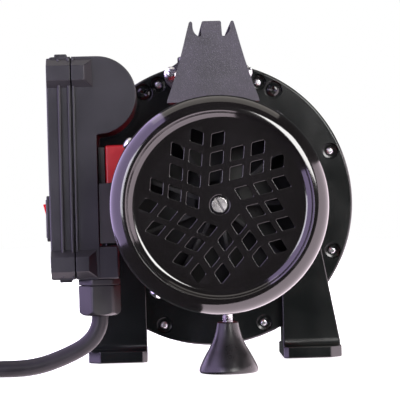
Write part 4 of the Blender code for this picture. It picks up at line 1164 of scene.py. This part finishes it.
def makeFrame():
    facts = motor
    steps = facts["fins"] * 3
    shape = turned([(facts["bore"], facts["rear"] + 3), (facts["finRoot"], facts["rear"] + 3),
                    (facts["finRoot"], facts["front"] - 9), (facts["bore"], facts["front"] - 9)], steps, True)
    bmesh.ops.recalc_face_normals(shape, faces=shape.faces[:])
    ridges = []
    for face in shape.faces:
        middle = face.calc_center_median()
        outward = Vector((middle.x, 0, middle.z))
        if outward.length > facts["finRoot"] - 0.5 and abs(face.normal.y) < 0.1:
            facet = int((math.degrees(math.atan2(middle.z, middle.x)) % 360) / (360 / steps))
            if facet % 3 == 0:  # one facet in three grows into a fin
                ridges.append(face)
    grown = bmesh.ops.extrude_discrete_faces(shape, faces=ridges)["faces"]
    for face in grown:
        middle = face.calc_center_median()
        out = Vector((middle.x, 0, middle.z)).normalized()
        bmesh.ops.translate(shape, vec=out * (facts["finTip"] - facts["finRoot"]), verts=face.verts[:])
        side = out.cross(Vector((0, 1, 0)))
        centre = face.calc_center_median()
        for vert in face.verts:
            vert.co -= side * (vert.co - centre).dot(side) * facts["finTaper"]
    for rearEnd, frontEnd in ((facts["rear"], facts["rear"] + 4.5), (facts["front"] - 10.5, facts["front"])):
        shape = gathered(shape,
                         turned([(facts["bore"], rearEnd), (facts["finTip"], rearEnd, 0.6),
                                 (facts["finTip"], frontEnd, 0.6), (facts["bore"], frontEnd)], 128, True))
    finished("frameFins", shape, "redPaint", stands=("motor_frame",), sharp=30)
    x, y = facts["footPlace"]
    boxPad = brick(*facts["boxPad"], 1.2)
    handlePad = brick(*facts["handlePad"], 1.2)
    boss = turned([(0, -61, 0), (7.9, -61, 0.8), (7.9, -55.5, 2.0), (10.5, -51), (0, -51)], 48, axis="Z",
                  at=(x, y, 0))
    pads = welded(boxPad, handlePad, boss)
    tools = [rod(54.6, -200, 10, 128),
             rod(5, -90, -30, 32, axis="X", at=(0, *box["wire"])),
             rod(3.3, -70, -45, 24, axis="Z", at=(x, y, 0))]
    finished("framePads", carved(pads, *tools), "redPaint")


def makeShield():
    rim = motor["rear"] - 0.3
    outline = [(58.2, rim, 0.6), (58.2, rim - 13, 0.8), (52, rim - 13, 0.5), (50, rim - 8, 1.5),
               (24, rim - 8, 1.5), (22, rim - 14, 1.0), (8, rim - 14), (8, rim - 12.4), (17.8, rim - 12.4),
               (17.8, rim + 4), (21, rim + 4), (22, rim - 4), (44, rim - 4), (44, rim + 5), (47.9, rim + 5),
               (47.9, rim)]
    body = turned(outline, 96, True)
    ribs = []
    for k in range(8):
        rib = brick((23, rim - 12.4, -1.4), (51, rim - 7, 1.4), 0.5, 2)
        swing(rib, 45 * k + 12, "Y")
        ribs.append(rib)
    holes = []
    for k in range(4):
        x, z = polar(1, 54 + 90 * k)
        hole = rod(2.0, 50, 70, 20, axis="Z")
        holes.append(copied(hole, aimed((x, 0, z), (0, fanCover["screwY"], 0))))
        hole.free()
    finished("shieldCasting", carved(welded(body, *ribs), *holes), "castAluminium", stands=("rear_shield",))


fan = {
    "hub": [(4.8, -150), (10.5, -150, 1.0), (12, -137, 2.0), (51, -130.4, 0.6), (51, -128, 0.3), (4.8, -128)],
    "blade": [(9, -149.2, 1.5), (50.5, -149.2, 5.0), (52.8, -144, 1.0), (52.8, -130, 0.5), (9, -129)],
    "bladeHalf": 1.0, "blades": 9,
}


def makeFan():
    hub = turned(fan["hub"], 64, True)
    blades = []
    for k in range(fan["blades"]):
        blade = plate(fan["blade"], -fan["bladeHalf"], fan["bladeHalf"])
        bmesh.ops.rotate(blade, cent=(0, 0, 0), matrix=lay["Z"], verts=blade.verts[:])
        blade = softened(blade, 0.3, 2, 40)
        swing(blade, 360 / fan["blades"] * k, "Y")
        blades.append(blade)
    finished("fanWheel", welded(hub, *blades), "fanPlastic", body="rotor", stands=("fan",))


shaft = {
    "outline": [(0, -164), (4.5, -164, 0.6), (4.5, -124, 0.2), (7.5, -123, 0.2), (7.5, -106.7), (9, -105.7),
                (9, -15), (7.5, -14), (7.5, 4), (6, 4), (6, 32.5), (4.8, 33), (4.8, 41, 0.6), (0, 41)],
    "slot": ((-6, -166, -0.75), (6, -162.2, 0.75)), "slotTurn": 62,
}


def makeShaft():
    body = turned(shaft["outline"], 64)
    slot = brick(*shaft["slot"])
    swing(slot, shaft["slotTurn"], "Y")
    finished("rotorShaft", carved(body, slot), "brightSteel", body="rotor", stands=("shaft",))


makeFrame()
makeShield()
makeFan()
makeShaft()
print("motor ready")


# Rear foot: a rubber bell on a threaded stud
rearFoot = {"height": 29.3, "studTop": 46.0, "stud": 3.0}


def makeRearFoot():
    x, y = motor["footPlace"]
    at = (x, y, floorHeight)
    high = rearFoot["height"]
    bell = turned([(0, 0.4), (4, 0.0), (16.4, 0.0, 0.5), (17.2, 1.2, 0.8), (16.7, 3.4, 1.0), (14.4, 8.6, 4.0),
                   (10.2, 15.5, 5.0), (7.2, 23.0, 4.0), (6.1, high, 0.7), (3.4, high, 0.3), (3.4, high - 4),
                   (0, high - 4)], 96, axis="Z", at=at, segments=5)
    finished("rearFootBell", bell, "mouldedRubber", body="adjustable_foot", stands=("rear_foot",),
             sharp=50)
    stud = turned(threadOutline(rearFoot["stud"], 0.35, 10.0, rearFoot["studTop"], 1.0), 40, axis="Z", at=at)
    finished("footStud", stud, "zincPlate", body="adjustable_foot", stands=("foot_stud",),
             sharp=50)


makeRearFoot()
print("rear foot ready")


# Pump casing: a cast drum with a domed end, two threaded bosses, a filler neck and a drain
casing = {
    "rear": 12.3, "flangeFront": 24.3, "flange": 89.0, "drum": 77.0, "wall": 6.0, "front": 138.0,
    "groove": 15.0, "tongue": 1.7, "chamber": 131, "innerWall": 100,
    "suction": {"radius": 23.0, "end": 165.0, "bore": 16.6, "deep": 18.0},
    "discharge": {"radius": 18.5, "top": 95.0, "y": 34.0, "bore": 13.2},
    "filler": {"radius": 14.0, "top": 84.0, "y": 88.0, "bore": 10.3},
    "drain": {"radius": 11.0, "face": 142.0, "drop": 38.0, "bore": 6.3},
    "webs": 8,
}


def flaredBoss(radius, foot, top, flare, axis, at, steps=64):
    return turned([(0, foot), (radius + flare, foot), (radius, foot + flare * 1.5, flare * 1.4),
                   (radius, top, 1.0), (0, top)], steps, axis=axis, at=at)


def makeCasing():
    facts = casing
    drum, front, wall, rear = facts["drum"], facts["front"], facts["wall"], facts["rear"]
    inlet, port, neck, bottom = facts["suction"], facts["discharge"], facts["filler"], facts["drain"]
    portPlace, neckPlace, drainPlace = (0, port["y"], 0), (0, neck["y"], 0), (0, 0, -bottom["drop"])
    groove, tongue, chamber = facts["groove"], facts["tongue"], facts["chamber"]
    innerWall = facts["innerWall"]
    outer = [(drum - wall, rear), (drum - tongue, rear), (drum - tongue, groove), (drum + tongue, groove),
             (drum + tongue, rear), (facts["flange"], rear, 0.5),
             (facts["flange"], facts["flangeFront"], 0.9), (drum, facts["flangeFront"], 4.0),
             (drum, front - 32, 28.0), (drum - 17, front - 3, 24.0), (49, front, 9.0), (23, front, 4.0),
             (23, inlet["end"], 1.2), (inlet["bore"] - 1.2, inlet["end"], 0.6),
             (14, inlet["end"] - inlet["deep"]), (14, chamber)]
    inner = [(19, chamber), (19, innerWall), (9, innerWall), (9, 96), (24, 96), (24, chamber), (46, chamber),
             (drum - 13, front - 21, 8), (drum - wall, front - 38, 6)]
    body = turned(outer + inner, 128, True)
    rootZ = drum - wall + 1
    discharge = flaredBoss(port["radius"], rootZ - 2, port["top"], 4.5, "Z", portPlace)
    filler = flaredBoss(neck["radius"], rootZ - 1, neck["top"], 3.0, "Z", neckPlace)
    drain = turned([(0, 131.5), (bottom["radius"] + 0.6, 131.5), (bottom["radius"], bottom["face"], 0.9),
                    (0, bottom["face"])], 48, at=drainPlace)
    parts = [discharge, filler, drain]
    for k in range(facts["webs"]):
        web = plate([(20, 134), (50, 134), (47, front + 1.2, 3), (23.5, front + 13, 6), (20, front + 13)],
                    -1.7, 1.7, axis="Z")
        web = softened(web, 0.7, 2, 50)
        swing(web, 360 / facts["webs"] * k, "Y")
        parts.append(web)
    body = welded(body, *parts, solver="MANIFOLD")
    suction = turned(threadOutline(inlet["bore"], 1.2, inlet["end"] - inlet["deep"],
                                   inlet["end"] + 2.3, 2.31), 64)
    outlet = turned(threadOutline(port["bore"], 1.0, port["top"] - 18, port["top"] + 1.8, 1.81),
                    56, axis="Z", at=portPlace)
    outletRoom = rod(11, 50, 82, 48, axis="Z", at=portPlace)
    fillerRoom = turned(threadOutline(neck["bore"], 0.5, 68, neck["top"] + 2, 1.8), 48, axis="Z",
                        at=neckPlace)
    fillerWay = rod(9.5, 50, 75, 40, axis="Z", at=neckPlace)
    drainWay = rod(bottom["bore"], 120, 150, 32, at=drainPlace)
    nozzleHole = rod(6.3, -30, -10, 24, axis="Z", at=(0, 114, 0))
    bolts = []
    for angle in bracket["boltAngles"]:
        x, z = polar(bracket["boltCircle"], angle)
        bolts.append(rod(2.8, 8, 30, 20, at=(x, 0, z)))
    body = carved(body, suction, outlet, outletRoom, fillerRoom, fillerWay, drainWay, nozzleHole, *bolts,
                  solver="MANIFOLD")
    finished("casingCasting", body, "castBlack", stands=("pump_casing",), sharp=38)


def makeFillerPlug():
    facts = casing["filler"]
    top, at = facts["top"], (0, facts["y"], 0)
    lobes = []
    for k in range(24):
        lobes += [(*polar(15.5, 15 * k - 3.6), 0.8), (*polar(15.5, 15 * k + 3.6), 0.8),
                  (*polar(14.75, 15 * k + 7.5), 0.8)]
    cap = plate([(a, b + facts["y"], c) for a, b, c in lobes], top + 1.9, top + 8, axis="Z", segments=2)
    cap = softened(cap, 0.5, 2, 50)
    crown = turned([(0, top + 7), (14.2, top + 7), (13.6, top + 9.5, 1.2), (0, top + 9.5)], 64, axis="Z",
                   at=at)
    grip = brick((-11, facts["y"] - 3, top + 7), (11, facts["y"] + 3, top + 17), 2.2, 4)
    body = welded(cap, crown, grip)
    core = turned(threadOutline(facts["bore"] - 0.35, 0.8, top - 10, top + 2.2, 1.8), 48, axis="Z", at=at)
    finished("fillerPlugCap", body, "blackPlastic", body="filler_cap", stands=("filler_plug",))
    finished("fillerPlugThread", core, "blackPlastic", body="filler_cap", sharp=50)
    ring = turned([(10.3, top + 0.3, 0.4), (13.5, top + 0.3, 0.5), (13.5, top + 1.6, 0.5),
                   (10.3, top + 1.6, 0.4)], 64, True, axis="Z", at=at)
    finished("fillerSealRing", ring, "mouldedRubber", body="filler_washer", stands=("filler_seal",))


def makeDrainPlug():
    facts = casing["drain"]
    face, at = facts["face"], (0, 0, -facts["drop"])
    head = plate(polygon(17 / math.sqrt(3), 6, 0, 0.8), face + 1.9, face + 8)
    dome = turned([(0, face + 1.9), (9.0, face + 1.9), (9.95, face + 3.2), (9.95, face + 6.2),
                   (8.4, face + 8), (5.6, face + 8), (5.2, face + 7.4), (0, face + 7.4)], 64)
    head = combined(head, "INTERSECT", dome)
    shift(head, at)
    core = turned(threadOutline(5.9, 0.6, face - 9, face + 2.2, 1.5), 40, at=at)
    finished("drainPlugHead", head, "blackPlastic", body="drain_cap", stands=("drain_plug",))
    finished("drainPlugThread", core, "blackPlastic", body="drain_cap", sharp=50)
    ring = turned([(6.3, face + 0.3, 0.4), (9, face + 0.3, 0.5), (9, face + 1.6, 0.5),
                   (6.3, face + 1.6, 0.4)], 48, True, at=at)
    finished("drainSealRing", ring, "mouldedRubber", body="drain_washer", stands=("drain_seal",))


makeCasing()
makeFillerPlug()
makeDrainPlug()
print("pump end ready")
